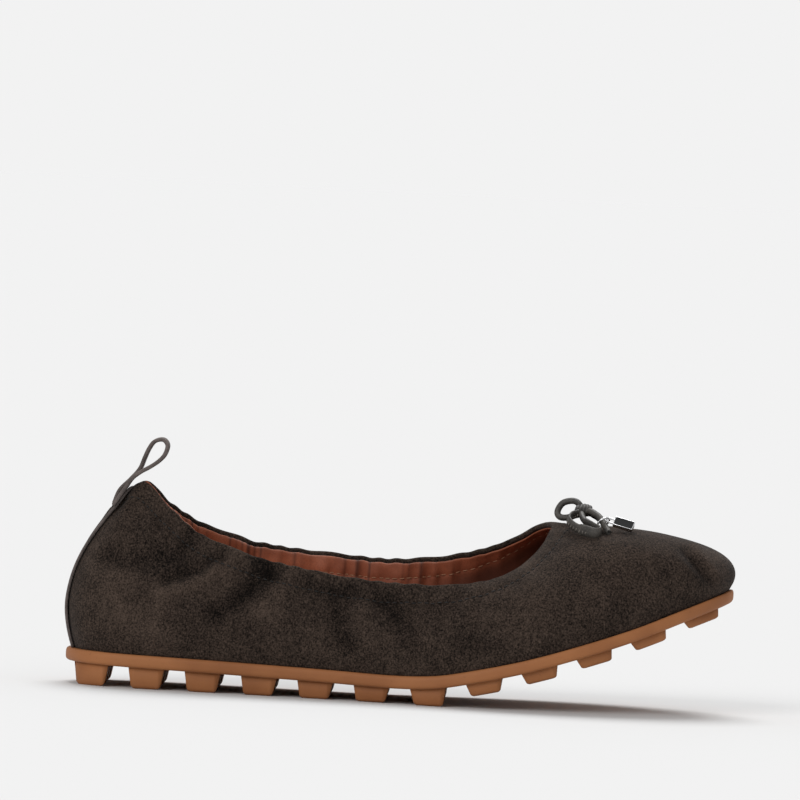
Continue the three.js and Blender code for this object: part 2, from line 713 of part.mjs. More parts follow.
// The origin is under the middle of the shoe without its bow.
const middle = new THREE.Box3().setFromObject(shoe, true).getCenter(new THREE.Vector3());
shoe.add(named('bow_cord', bowGeometry(), cordLeather));
shoe.position.set(-middle.x, -middle.y, 0);

export default shoe;
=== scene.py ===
# %% [markdown]
# This lesson dresses one right ballet flat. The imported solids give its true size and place. Here the soft
# suede, its lining, the rubber sole, the tape, the bow and the small charm get the detail that solids
# leave out. Everything is in metres, with +X to the toe, +Y to the inner side of the foot and +Z up.

# %% Frame and sizes
import math

import bmesh
import bpy
import numpy as np
from mathutils import Matrix, Vector, noise


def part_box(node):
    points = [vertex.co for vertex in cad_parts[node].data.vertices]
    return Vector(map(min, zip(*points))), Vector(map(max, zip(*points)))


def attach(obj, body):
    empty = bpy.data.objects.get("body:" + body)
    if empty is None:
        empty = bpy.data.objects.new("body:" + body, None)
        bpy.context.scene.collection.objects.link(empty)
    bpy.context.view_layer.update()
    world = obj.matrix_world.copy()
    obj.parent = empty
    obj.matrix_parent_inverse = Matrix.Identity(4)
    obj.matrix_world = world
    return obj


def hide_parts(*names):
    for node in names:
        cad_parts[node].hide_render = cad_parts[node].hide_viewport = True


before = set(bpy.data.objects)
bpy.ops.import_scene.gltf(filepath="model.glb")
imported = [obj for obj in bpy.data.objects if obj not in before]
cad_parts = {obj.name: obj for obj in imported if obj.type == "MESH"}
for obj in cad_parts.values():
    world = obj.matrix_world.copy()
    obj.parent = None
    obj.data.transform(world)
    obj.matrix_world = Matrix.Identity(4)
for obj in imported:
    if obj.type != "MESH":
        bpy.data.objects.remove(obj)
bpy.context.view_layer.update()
mm = 0.001
last_length = 250 * mm
ball_width = 76 * mm
collar_height = 76.5 * mm
toe_spring = 38 * mm
heel_setback = 4 * mm
toe_setback = 1.2 * mm
wall = 1.9 * mm
piece_gap = 0.3 * mm
band_thickness = 4.8 * mm
band_overhang = 1.8 * mm
heel_overhang = 2.6 * mm
heel_round = 0.08

# %% [markdown]
# The camera stands where the photographer's stood: nearly level, far away, and rolled by three degrees,
# because the shoe in the picture leans that much while here it stands flat on the floor. A long lens
# keeps the sides almost parallel. The far distance is why the focal length is so large.

# %% Camera
def add_camera(place, ahead, up, lens):
    """A camera at a place, from its viewing direction and its up direction."""
    camera = bpy.data.objects.new("camera", bpy.data.cameras.new("camera"))
    bpy.context.scene.collection.objects.link(camera)
    ahead = Vector(ahead).normalized()
    right = ahead.cross(Vector(up)).normalized()
    turned = Matrix([right, right.cross(ahead), -ahead]).transposed()
    camera.matrix_world = Matrix.Translation(place) @ turned.to_4x4()
    camera.data.lens = lens
    camera.data.clip_end = 1000
    bpy.context.scene.camera = camera


camera_place = (0.066724, -2.894494, 0.191176)
camera_ahead = (-0.02427, 0.99932, -0.02762)
camera_up = (-0.05241, 0.02632, 0.99828)
add_camera(camera_place, camera_ahead, camera_up, 350.24)

# %% [markdown]
# Every curved piece follows one last, the form that a shoe is made on. A short table gives, for sixteen
# sections from heel to toe, where the upper meets the sole, where the collar's edge is, and how the wall
# bends between them. A closed smooth curve through the rows gives each value at any turn round the shoe,
# from 0 at the heel, along the outer side to 0.5 at the toe, and back along the inner side.

# %% The last
SECTION_COLUMNS = ("foot", "foot_out", "foot_in", "top", "top_out", "top_in", "high_out", "high_in",
                   "lean", "rise", "reach", "drop")
SECTIONS = [
    (0.000, 0.000, 0.000, 0.081, 0.000, 0.000, 0.926, 0.926, 0.078, 0.224, 0.200, 0.210),
    (0.012, 0.150, 0.150, 0.093, 0.058, 0.058, 0.962, 0.962, 0.074, 0.226, 0.190, 0.222),
    (0.038, 0.250, 0.246, 0.115, 0.118, 0.118, 0.998, 0.994, 0.058, 0.228, 0.150, 0.240),
    (0.086, 0.322, 0.314, 0.149, 0.188, 0.184, 0.893, 0.888, 0.052, 0.215, 0.095, 0.215),
    (0.170, 0.345, 0.333, 0.205, 0.262, 0.255, 0.762, 0.790, 0.050, 0.180, 0.062, 0.175),
    (0.270, 0.352, 0.318, 0.294, 0.312, 0.300, 0.668, 0.710, 0.050, 0.165, 0.040, 0.155),
    (0.372, 0.368, 0.286, 0.389, 0.331, 0.308, 0.612, 0.682, 0.048, 0.155, 0.034, 0.140),
    (0.474, 0.408, 0.284, 0.481, 0.340, 0.316, 0.583, 0.667, 0.042, 0.150, 0.042, 0.135),
    (0.574, 0.470, 0.352, 0.568, 0.350, 0.322, 0.586, 0.700, 0.038, 0.145, 0.080, 0.118),
    (0.668, 0.504, 0.438, 0.628, 0.338, 0.310, 0.617, 0.750, 0.034, 0.145, 0.135, 0.080),
    (0.757, 0.492, 0.490, 0.667, 0.290, 0.258, 0.668, 0.808, 0.032, 0.155, 0.215, 0.070),
    (0.838, 0.428, 0.488, 0.692, 0.212, 0.190, 0.733, 0.862, 0.030, 0.170, 0.300, 0.055),
    (0.908, 0.318, 0.426, 0.707, 0.140, 0.128, 0.796, 0.884, 0.028, 0.190, 0.420, 0.028),
    (0.960, 0.184, 0.332, 0.714, 0.076, 0.074, 0.845, 0.889, 0.085, 0.195, 0.520, -0.005),
    (0.990, 0.052, 0.198, 0.718, 0.028, 0.034, 0.873, 0.888, 0.130, 0.205, 0.555, -0.025),
    (1.000, -0.072, 0.072, 0.720, 0.000, 0.000, 0.884, 0.884, 0.145, 0.205, 0.560, -0.033),
]
# Underside of the sole: place along the shoe, share of the heel stud's height, share of the toe spring.
SOLE_CURVE = [
    (0.00, 1.00, 0.000), (0.10, 0.95, 0.000), (0.20, 0.90, 0.000), (0.30, 0.83, 0.000), (0.40, 0.76, 0.000),
    (0.50, 0.69, 0.000), (0.56, 0.66, 0.028), (0.61, 0.64, 0.096), (0.69, 0.62, 0.232), (0.77, 0.60, 0.404),
    (0.85, 0.60, 0.592), (0.92, 0.60, 0.785), (1.00, 0.60, 1.000),
]
heel_stud_height = 8.3 * mm
foot_span = last_length - heel_setback - band_overhang - toe_setback


def smooth_through(places, values, at):
    """Values on a smooth curve through a table's rows."""
    slopes = np.empty(len(values))
    slopes[1:-1] = (values[2:] - values[:-2]) / (places[2:] - places[:-2])
    slopes[0] = (values[1] - values[0]) / (places[1] - places[0])
    slopes[-1] = (values[-1] - values[-2]) / (places[-1] - places[-2])
    at = np.clip(at, places[0], places[-1])
    i = np.clip(np.searchsorted(places, at, side="left") - 1, 0, len(places) - 2)
    span = places[i + 1] - places[i]
    t = (at - places[i]) / span
    return (values[i] * (1 + 2 * t) * (1 - t) ** 2 + values[i + 1] * t ** 2 * (3 - 2 * t)
            + span * (slopes[i] * t * (1 - t) ** 2 - slopes[i + 1] * t ** 2 * (1 - t)))


def underside_at(x):
    """Height of the sole's underside at a distance from the heel."""
    rows = np.array(SOLE_CURVE)
    at = np.asarray(x) / last_length
    studs = smooth_through(rows[:, 0], rows[:, 1], at) * heel_stud_height
    return studs + smooth_through(rows[:, 0], rows[:, 2], at) * toe_spring


def around(point_of):
    """Closed curve through the sections. It gives its points, or its directions, at turns round it."""
    rows = [dict(zip(SECTION_COLUMNS, row)) for row in SECTIONS]
    outer = [point_of(row, -1, "out") for row in rows]
    inner = [point_of(row, 1, "in") for row in rows[1:-1]]
    points = np.array(outer + inner[::-1], float)
    count = len(points)

    def curve(turns, slope=False):
        place = np.mod(np.asarray(turns, float), 1) * count
        i = np.floor(place).astype(int)
        t = (place - i)[:, None]
        before, start, end, after = (points[(i + k) % count] for k in (-1, 0, 1, 2))
        leave = (end - before) / 2
        arrive = (after - start) / 2
        square = 3 * (end - start) - 2 * leave - arrive
        cube = 2 * (start - end) + leave + arrive
        if slope:
            return leave + 2 * square * t + 3 * cube * t ** 2
        return start + leave * t + square * t ** 2 + cube * t ** 3

    return curve


foot_line = around(lambda row, side, name: (
    heel_setback + row["foot"] * foot_span, side * row["foot_" + name] * ball_width, 0))
collar_line = around(lambda row, side, name: (
    row["top"] * last_length, side * row["top_" + name] * ball_width, row["high_" + name] * collar_height))
foot_bend = around(lambda row, side, name: (row["lean"] * collar_height, row["rise"] * collar_height, 0))
collar_bend = around(lambda row, side, name: (row["reach"] * collar_height, row["drop"] * collar_height, 0))


def outward_at(turns):
    """Level direction straight out of the shoe at turns round the sole's line."""
    along = foot_line(turns, slope=True)
    out = np.stack([along[:, 1], -along[:, 0], np.zeros(len(along))], axis=1)
    return out / np.linalg.norm(out, axis=1, keepdims=True)


def plan_ring(turns, outset):
    """The upper's foot in plan, moved outwards by a length, or by a function of the place along it."""
    points = foot_line(turns)
    amount = outset(points[:, 0]) if callable(outset) else np.full(len(points), outset)
    return points + outward_at(turns) * amount[:, None]


def overhang_at(x):
    """How far the sole reaches past the upper, more round the heel."""
    share = np.clip(1 - (x - heel_setback) / (heel_round * last_length), 0, 1)
    return band_overhang + (heel_overhang - band_overhang) * share


# The solids' outline box says where the last stands in the frame.
fine_turns = np.arange(1440) / 1440
sole_outline = plan_ring(fine_turns, overhang_at)
frame_shift = np.array([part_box("outsole")[0][0] - sole_outline[:, 0].min(),
                        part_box("outsole")[0][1] - sole_outline[:, 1].min(), 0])
print("the last starts at", frame_shift)

# %% [markdown]
# A mesh helper turns rows of points into a closed skin. Modelling a last by hand-pulled vertices would
# never meet the solids to a tenth of a millimetre, so the wall's skin is made from its rows of points,
# and the edit-mode tools are kept for the studs and the charm's tag.

# %% Mesh helpers
def new_piece(name, points, faces, body="shoe"):
    """A mesh piece from points in the last's own place, which rides on a body."""
    mesh = bpy.data.meshes.new(name)
    placed = np.asarray(points, float) + frame_shift
    mesh.from_pydata(placed.tolist(), [], [tuple(int(i) for i in face) for face in faces])
    mesh.update()
    piece = bpy.data.objects.new(name, mesh)
    bpy.context.scene.collection.objects.link(piece)
    for polygon in mesh.polygons:
        polygon.use_smooth = True
    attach(piece, body)
    return piece


def ring_faces(rings, per_ring, closed_along=False, closed_round=True, start=0):
    """Quads between rings of points, each ring joined to the next."""
    faces = []
    last_ring = rings if closed_along else rings - 1
    last_side = per_ring if closed_round else per_ring - 1
    for r in range(last_ring):
        for s in range(last_side):
            a = start + r * per_ring + s
            b = start + r * per_ring + (s + 1) % per_ring
            c = start + ((r + 1) % rings) * per_ring + (s + 1) % per_ring
            d = start + ((r + 1) % rings) * per_ring + s
            faces.append((a, b, c, d))
    return faces


def strip_faces(count, start=0, flip=False):
    """Faces that close a long outline, from each point across to its opposite one."""
    faces = []
    for i in range(count // 2):
        quad = [start + i, start + (i + 1), start + (count - i - 1), start + (count - i) % count]
        face = list(dict.fromkeys(quad))
        faces.append(face[::-1] if flip else face)
    return faces


def way_along(points):
    """Distance gone along a line of points, at each of them."""
    return np.concatenate([[0], np.cumsum(np.linalg.norm(np.diff(points, axis=0), axis=1))])


def at_distances(distances, gone, values):
    """Values of a line's points, read at distances along it."""
    return np.stack([np.interp(distances, gone, values[:, k]) for k in range(3)], axis=1)


def smooth_route(points, steps):
    """Evenly spaced points on a smooth curve through a few given ones."""
    points = np.asarray(points, float)
    ends = np.vstack([2 * points[0] - points[1], points, 2 * points[-1] - points[-2]])
    fine = []
    for i in range(1, len(ends) - 2):
        before, start, end, after = ends[i - 1:i + 3]
        for t in np.linspace(0, 1, 24, endpoint=False):
            fine.append(start + (end - before) / 2 * t
                        + (3 * (end - start) - (end - before) - (after - start) / 2) * t ** 2
                        + (2 * (start - end) + (end - before) / 2 + (after - start) / 2) * t ** 3)
    fine = np.array(fine + [points[-1]])
    gone = way_along(fine)
    return at_distances(np.linspace(0, gone[-1], steps), gone, fine)


def frames_along(route):
    """Directions along a route, and two across it that turn as little as they can."""
    ahead = np.gradient(route, axis=0)
    ahead /= np.linalg.norm(ahead, axis=1, keepdims=True)
    side = np.cross(ahead[0], (0, 0, 1))
    if np.linalg.norm(side) < 0.1:
        side = np.cross(ahead[0], (0, 1, 0))
    sides = []
    for direction in ahead:
        side = side - direction * np.dot(side, direction)
        side = side / np.linalg.norm(side)
        sides.append(side)
    sides = np.array(sides)
    return ahead, sides, np.cross(ahead, sides)


# The rings that close a tube's end: their size against the tube's, and how many radii past its end they lie.
ROUND_END = [(0.87, 0.30), (0.50, 0.522)]
HOLLOW_END = [(0.93, 0.12), (0.55, 0.08), (0.45, -0.90)]


def tube(name, route, radius, sides=16, body="shoe", closed=False, press=None, hollow=False):
    """A round cord along a route, with rounded or hollow ends. press flattens it where it is a function."""
    ahead, across, over = frames_along(route)
    rings = []
    angles = np.arange(sides) / sides * 2 * math.pi
    for i, (centre, a, b) in enumerate(zip(route, across, over)):
        offsets = radius * (np.cos(angles)[:, None] * a + np.sin(angles)[:, None] * b)
        rings.append(centre + (press(offsets, i) if press else offsets))
    if not closed:
        for end, sign in ((0, -1), (-1, 1)):
            mouth = rings[end] - route[end]
            extra = [route[end] + mouth * size + sign * ahead[end] * radius * past
                     for size, past in (HOLLOW_END if hollow else ROUND_END)]
            rings = extra[::-1] + rings if end == 0 else rings + extra
    points = np.concatenate(rings)
    faces = ring_faces(len(rings), sides, closed_along=closed)
    if not closed:
        faces.append(list(range(sides))[::-1])
        faces.append([(len(rings) - 1) * sides + s for s in range(sides)])
    return new_piece(name, points, faces, body=body)


def edit(piece):
    """Opens one piece in edit mode with all of it selected."""
    bpy.ops.object.select_all(action="DESELECT")
    piece.select_set(True)
    bpy.context.view_layer.objects.active = piece
    bpy.ops.object.mode_set(mode="EDIT")
    bpy.ops.mesh.select_all(action="SELECT")


def leave_edit():
    bpy.ops.object.mode_set(mode="OBJECT")


def block_to_edit(size, place):
    """A cube stretched to a size, open in edit mode."""
    bpy.ops.object.select_all(action="DESELECT")
    bpy.ops.mesh.primitive_cube_add(size=1, location=place)
    block = bpy.context.active_object
    block.scale = size
    bpy.ops.object.transform_apply(location=True, rotation=True, scale=True)
    edit(block)
    return block


# %% [markdown]
# The bow is one stitched leather cord. Both loops and both ends come out of one knot, so it is modelled
# as a single cord that runs end, knot, near loop, knot, far loop, knot, end. Its places are shares of the
# bow's reach from the knot. They are nearly those of the solids: only the near loop's back strand lies a
# little further back.

# %% Bow cord
cord_diameter = 2.4 * mm
bow_reach = 10 * mm
knot_ahead = 11.4 * mm
knot_lift = 5.8 * mm
knot_centre = collar_line([0.5])[0] + np.array([knot_ahead, 0, knot_lift])
NEAR_END = [(0.96, -1.40, -0.69), (0.80, -1.08, -0.44), (0.61, -0.78, -0.18), (0.36, -0.50, -0.02),
            (0.15, -0.28, 0.02)]
NEAR_LOOP = [(-0.21, -0.30, -0.08), (-0.44, -0.52, -0.16), (-0.52, -0.82, -0.32), (-0.39, -1.10, -0.48),
             (-0.13, -1.34, -0.61), (0.19, -1.52, -0.68), (0.46, -1.62, -0.73), (0.64, -1.52, -0.67),
             (0.38, -1.20, -0.52), (0.06, -0.86, -0.32), (-0.06, -0.45, -0.12)]
FAR_LOOP = [(-0.09, 0.10, 0.08), (-0.18, 0.22, 0.24), (-0.34, 0.32, 0.34), (-0.57, 0.40, 0.33),
            (-0.80, 0.45, 0.23), (-0.95, 0.45, 0.00), (-0.96, 0.40, -0.18), (-0.85, 0.30, -0.28),
            (-0.68, 0.22, -0.29), (-0.49, 0.14, -0.25), (-0.26, 0.05, -0.16)]
FAR_END = [(0.20, 0.32, -0.08), (0.40, 0.60, -0.16), (0.56, 0.88, -0.26), (0.68, 1.14, -0.38)]


def from_knot(rows):
    return np.array(rows) * bow_reach + knot_centre


cord_route = smooth_route(from_knot(NEAR_END + NEAR_LOOP + FAR_LOOP + FAR_END), 260)
# The near loop is pressed flat, so that its stitched face shows in front.
loop_widening = 0.5
back_widening = 0.4
loop_thinning = 0.42
loop_onset = 0.4
loop_upwards = np.array([0.095, -0.378, 0.921])
BOW = NEAR_END + NEAR_LOOP + FAR_LOOP + FAR_END
loop_start = len(NEAR_END) / len(BOW)
loop_end = len(NEAR_END + NEAR_LOOP) / len(BOW)


def flattened(offsets, i):
    """Offsets round the cord at one step of its route, widened and thinned along the near loop."""
    along = i / (len(cord_route) - 1)
    through = min(1, max(0, (along - loop_start) / (loop_end - loop_start)))
    share = max(0.0, math.sin(math.pi * through)) ** loop_onset
    back_share = share if through > 0.5 else 0
    upright = np.outer(offsets @ loop_upwards, loop_upwards)
    wider = 1 + loop_widening * share + back_widening * back_share
    return upright * wider + (offsets - upright) * (1 - loop_thinning * share)


bow_cord = tube("bow_cord_leather", cord_route, cord_diameter / 2, press=flattened, hollow=True)
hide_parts("bow_cord")

# %% [markdown]
# The upper's wall bends from the sole to the collar on one curve at each turn. Points of the wall are
# asked for by their turn round the shoe and by their share of the way up, so that seams, stitches, tape
# and creases can all be laid on the same skin.

# %% Skin of the last
def rib_points(turns, shares):
    """Points of the wall, a row of them for each turn."""
    foot = foot_line(turns)
    foot[:, 2] = underside_at(foot[:, 0]) + band_thickness + piece_gap
    collar = collar_line(turns)
    low = foot_bend(turns)
    high = collar_bend(turns)
    out = outward_at(turns)
    up = np.array([0, 0, 1.0])
    handles = np.stack([foot, foot + out * low[:, :1] + up * low[:, 1:2],
                        collar + out * high[:, :1] - up * high[:, 1:2], collar])

    def bezier(u):
        u = u[..., None]
        a, b, c, d = (handle[:, None, :] for handle in handles)
        return a * (1 - u) ** 3 + 3 * b * u * (1 - u) ** 2 + 3 * c * u ** 2 * (1 - u) + d * u ** 3

    steps = np.linspace(0, 1, 61)
    coarse = bezier(np.broadcast_to(steps, (len(foot), 61)))
    gone = np.concatenate([np.zeros((len(foot), 1)),
                           np.cumsum(np.linalg.norm(np.diff(coarse, axis=1), axis=2), axis=1)], axis=1)
    wanted = np.broadcast_to(shares, (len(foot), np.shape(shares)[-1])) * gone[:, -1:]
    return bezier(np.array([np.interp(w, g, steps) for w, g in zip(wanted, gone)]))


def rib_lengths(turns):
    """Height of the wall along its own curve, at each turn."""
    points = rib_points(turns, np.linspace(0, 1, 61))
    return np.linalg.norm(np.diff(points, axis=1), axis=2).sum(axis=1)


heel_bulge = 1.3 * mm
# Where the bulge comes in and goes out: shares of the wall's height, and places along the shoe.
bulge_comes = (0.0, 0.3)
bulge_goes = (0.4, 0.95)
bulge_behind = (4 * mm, 26 * mm)


def skin(turns, shares):
    """Points of the wall and the directions out of it. The soft heel bulges a little past the last."""
    turns = np.asarray(turns, float)
    shares = np.broadcast_to(shares, (len(turns), np.shape(shares)[-1]))
    turn_step = 0.003
    share_step = 0.004
    points = rib_points(turns, shares)
    round_it = rib_points(turns + turn_step, shares) - rib_points(turns - turn_step, shares)
    upwards = (rib_points(turns, np.clip(shares + share_step, 0, 1))
               - rib_points(turns, np.clip(shares - share_step, 0, 1)))
    out = np.cross(round_it, upwards)
    out /= np.linalg.norm(out, axis=2, keepdims=True)
    bulge = ramp(*bulge_comes, shares) * (1 - ramp(*bulge_goes, shares))
    bulge = bulge * (1 - ramp(*bulge_behind, points[..., 0]))
    return points + out * (bulge * heel_bulge)[..., None], out


# %% [markdown]
# Suede without stiffening folds where the elastic in the collar draws it in. The folds in the picture are
# placed one by one: each is a soft trough or ridge along a short line, given by shares of the shoe's length
# and of the collar's height. The inner side, which the picture doesn't show, gets folds of the same kind.

# %% Creases
outer = -1
inner = 1
# side, depth (a ridge is less than zero), half width, line
CREASES = [
    (outer, 1.5 * mm, 4.5 * mm, [(0.194, 0.76), (0.173, 0.66), (0.107, 0.62), (0.070, 0.62)]),
    (outer, 1.7 * mm, 2.8 * mm, [(0.235, 0.66), (0.218, 0.64), (0.204, 0.59), (0.156, 0.535)]),
    (outer, -1.2 * mm, 3.6 * mm, [(0.262, 0.67), (0.225, 0.60), (0.190, 0.52), (0.150, 0.47)]),
    (outer, 2.0 * mm, 4.2 * mm, [(0.290, 0.68), (0.304, 0.59), (0.280, 0.51), (0.259, 0.45), (0.230, 0.39)]),
    (outer, -1.1 * mm, 5.5 * mm, [(0.330, 0.55), (0.300, 0.42)]),
    (outer, -0.8 * mm, 7.0 * mm, [(0.142, 0.30), (0.150, 0.26)]),
    (outer, -0.8 * mm, 6.5 * mm, [(0.072, 0.52), (0.089, 0.38)]),
    (outer, 0.9 * mm, 3.2 * mm, [(0.475, 0.50), (0.405, 0.53), (0.348, 0.55), (0.310, 0.60)]),
    (outer, 1.3 * mm, 4.0 * mm, [(0.416, 0.52), (0.415, 0.41), (0.427, 0.27)]),
    (outer, -0.6 * mm, 5.0 * mm, [(0.450, 0.42), (0.460, 0.30)]),
    (outer, 1.1 * mm, 4.5 * mm, [(0.487, 0.48), (0.512, 0.36), (0.520, 0.30)]),
    (outer, 0.6 * mm, 5.0 * mm, [(0.562, 0.48), (0.570, 0.39), (0.623, 0.31)]),
    (outer, 1.0 * mm, 1.7 * mm, [(0.916, 0.80), (0.940, 0.72), (0.962, 0.64), (0.974, 0.60)]),
    (outer, -0.7 * mm, 2.2 * mm, [(0.932, 0.82), (0.955, 0.74), (0.974, 0.67)]),
    (inner, 1.4 * mm, 4.5 * mm, [(0.190, 0.77), (0.165, 0.67), (0.100, 0.63)]),
    (inner, 2.0 * mm, 4.0 * mm, [(0.270, 0.70), (0.285, 0.58), (0.250, 0.47), (0.215, 0.40)]),
    (inner, -1.0 * mm, 4.5 * mm, [(0.300, 0.60), (0.280, 0.44)]),
    (inner, 1.3 * mm, 4.0 * mm, [(0.380, 0.60), (0.370, 0.45), (0.385, 0.30)]),
    (inner, 1.1 * mm, 4.5 * mm, [(0.470, 0.58), (0.500, 0.42), (0.505, 0.33)]),
    (inner, 0.7 * mm, 5.0 * mm, [(0.560, 0.62), (0.580, 0.48), (0.620, 0.36)]),
]


def line_distance(x, z, line):
    """Distance in the side view from points to a line of short stretches."""
    best = np.full(np.shape(x), 1e9)
    corners = [(a * last_length, b * collar_height) for a, b in line]
    for (ax, az), (bx, bz) in zip(corners[:-1], corners[1:]):
        long = (bx - ax) ** 2 + (bz - az) ** 2
        t = np.clip(((x - ax) * (bx - ax) + (z - az) * (bz - az)) / long, 0, 1)
        best = np.minimum(best, np.hypot(x - ax - t * (bx - ax), z - az - t * (bz - az)))
    return best


def ramp(low, high, value):
    """Smooth rise from 0 at low to 1 at high."""
    t = np.clip((value - low) / (high - low), 0, 1)
    return t * t * (3 - 2 * t)


def crease_depth(points, shares, spread=1.0):
    """How far the wall is pressed in at points of the last. A ridge gives less than zero. The lining, behind
    the suede, takes only the troughs, and takes them wider."""
    depth = np.zeros(points.shape[:-1])
    for side, deep, width, line in CREASES:
        if spread > 1 and deep < 0:
            continue
        near = line_distance(points[..., 0], points[..., 2], line)
        facing = ramp(-2 * mm, 6 * mm, side * points[..., 1])
        depth += deep * np.exp(-(near / (width * spread)) ** 2) * facing
    return depth * ramp(0.02, 0.14, shares)


def unevenness(points, size, seed):
    """Soft random swells of about one size, the same at each run."""
    flat = points.reshape(-1, 3) / size + seed
    return np.array([noise.noise(Vector(p)) for p in flat]).reshape(points.shape[:-1])


collar_round = collar_line(fine_turns)
collar_gone = way_along(collar_round)
print("collar's edge mm", round(float(collar_gone[-1]) / mm))


def gathers(turns, pitch, sway):
    """Waves along the collar, drawn together by its elastic, of uneven length."""
    gone = np.interp(np.mod(turns, 1), fine_turns, collar_gone)
    return np.sin(2 * math.pi * gone / pitch + sway * np.sin(2 * math.pi * gone / (4.3 * pitch)))


# %% [markdown]
# The suede is one skin: up the outside, over the collar's edge and a short way down inside, where the
# turned edge shows as a dark margin. The elastic runs in a tunnel below the edge, which a line of
# stitches closes. Rows of points are named by their distance from the collar's edge there, and by their
# share of the wall below it.

# %% Suede upper
casing_depth = 7.5 * mm
casing_step = 0.4 * mm
edge_round = 0.95 * mm
margin_depth = 3.6 * mm
gather_pitch = 7.4 * mm
gather_depth = 0.22 * mm
rear_gather_depth = 0.35 * mm
swell_size = 17 * mm
swell_depth = 0.35 * mm
edge_wave_pitch = 9.1 * mm
edge_wave_lift = 0.22 * mm
suede_turns = np.arange(660) / 660


def wall_rows(turns, rows):
    """Places for rows given as (kind, how far, outset): share of the wall, or distance down from the edge."""
    lengths = rib_lengths(turns)
    shares = []
    outsets = []
    for kind, far, outset in rows:
        shares.append(far * (1 - casing_depth / lengths) if kind == "up" else 1 - far / lengths)
        outsets.append(outset)
    return np.stack(shares, axis=1), np.array(outsets)


def laid_on(turns, rows, spread=1.0, ruffle=None):
    """Points of rows on the wall, with its creases and gathers."""
    shares, outsets = wall_rows(turns, rows)
    points, out = skin(turns, np.minimum(shares, 1))
    over = np.maximum(shares - 1, 0) * rib_lengths(turns)[:, None]
    pressed = crease_depth(points, shares, spread)
    from_edge = (1 - shares) * rib_lengths(turns)[:, None]
    rear = 1 - ramp(0.55, 0.70, points[..., 0] / last_length)
    wave = gathers(turns, gather_pitch, 1.6)[:, None]
    drawn_in = ramp(0, 7 * mm, from_edge) * (1 - ramp(8 * mm, 20 * mm, from_edge))
    pucker = wave * (gather_depth + rear_gather_depth * rear) * drawn_in
    swell = unevenness(points, swell_size, 3.1) * swell_depth * ramp(0.02, 0.2, shares)
    moved = outsets[None, :] + swell - pressed - pucker * np.abs(pucker / (0.5 * mm)) ** 0.3
    if ruffle is not None:
        moved = moved + ruffle(turns, points, from_edge)
    lift = np.array([0, 0, 1.0])
    edge_wave = gathers(turns, edge_wave_pitch, 2.2)[:, None] * edge_wave_lift * rear
    edge_wave = edge_wave * (1 - ramp(0, 8 * mm, from_edge))
    return points + out * moved[..., None] + lift * (over + edge_wave)[..., None], pressed


def rows_below_edge(table):
    """Rows from a table in millimetres: how far below the collar's edge, and how far out of the wall."""
    return [("down", below * mm, outset * mm) for below, outset in table]


outside_rows = [("up", 0.0, -0.25 * mm), ("up", 0.006, -0.05 * mm)]
outside_rows += [("up", share, 0.0) for share in np.linspace(0.016, 0.975, 58)]
outside_rows += rows_below_edge([(8.0, -0.02), (7.7, -0.10), (7.45, -0.15), (7.2, -0.08), (6.8, 0.06),
                                 (6.2, 0.18), (5.2, 0.34), (4.0, 0.45), (2.8, 0.48), (1.7, 0.4)])
roll_middle = casing_step - edge_round
roll_rows = [("down", edge_round * (1 - math.sin(a)), roll_middle + edge_round * math.cos(a))
             for a in np.linspace(0, math.pi, 9)]
inside_rows = [("down", 2.0 * mm, -1.50 * mm), ("down", margin_depth, -1.50 * mm)]
inside_rows += rows_below_edge([(4.6, -1.35), (5.2, -0.85)])
inside_rows += [("up", share, -0.85 * mm) for share in (0.92, 0.8, 0.65, 0.5, 0.35, 0.2, 0.08, 0.0)]
suede_rows = outside_rows + roll_rows + inside_rows
suede_points, suede_pressed = laid_on(suede_turns, suede_rows)
# The outside's lowest edge is glued down on to the band, which hides its raw edge.
glued_down = np.array([1.6, 0.8]) * piece_gap
suede_points[:, :2, 2] -= glued_down


def wall_piece(name, grid):
    """A closed skin from a grid of points: turns round the shoe by rows round the wall."""
    count, rows = grid.shape[:2]
    faces = [face[::-1] for face in ring_faces(count, rows, closed_along=True)]
    return new_piece(name, grid.reshape(-1, 3), faces)


def set_values(piece, name, values):
    """Stores a number at each vertex, for a material to read."""
    layer = piece.data.attributes.new(name, "FLOAT", "POINT")
    layer.data.foreach_set("value", np.asarray(values, np.float32).ravel())


suede = wall_piece("suede_upper", suede_points)
# The crease depth is kept for the suede's colour: painted shade in the folds, painted highlight on the ridges.
set_values(suede, "pressed", suede_pressed / mm)
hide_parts("upper")
print("suede upper", len(suede.data.polygons), "faces")

# %% [markdown]
# The lining is smooth leather. Its folded top edge is sewn over the suede's turned edge and catches the
# light. The elastic ruffles it most at the heel and along the sides, less towards the toe.

# %% Lining
edge_lift = 2.2 * mm
lining_turns = np.arange(600) / 600
lining_rows = [("up", share, -0.98 * mm) for share in (0.0, 0.2, 0.4, 0.6, 0.8, 0.93)]
lining_rows += rows_below_edge([(5.4, -1.05), (4.8, -1.62), (3.0, -1.66), (1.45, -1.70), (1.25, -1.90),
                                (1.35, -2.15), (1.9, -2.28), (3.2, -2.24), (5.0, -2.16), (6.6, -2.08),
                                (7.3, -1.90), (7.6, -1.84), (8.0, -1.90), (8.8, -1.98)])
lining_rows += [("up", share, -1.95 * mm) for share in np.linspace(0.95, 0.0, 34)]


def lining_ruffle(turns, points, from_edge):
    """Pinched folds of the lining below its edge."""
    rear = 1 - ramp(0.46, 0.66, points[..., 0] / last_length)
    wave = gathers(turns, 6.3 * mm, 1.9)[:, None]
    slow = gathers(turns, 23 * mm, 0.8)[:, None]
    fade = 1 - ramp(7 * mm, 26 * mm, from_edge)
    return -(0.75 * (1 - np.abs(wave)) ** 1.5 + 0.16 * slow) * mm * rear * fade * (from_edge < 40 * mm)


lining_points = laid_on(lining_turns, lining_rows, spread=1.4, ruffle=lining_ruffle)[0]
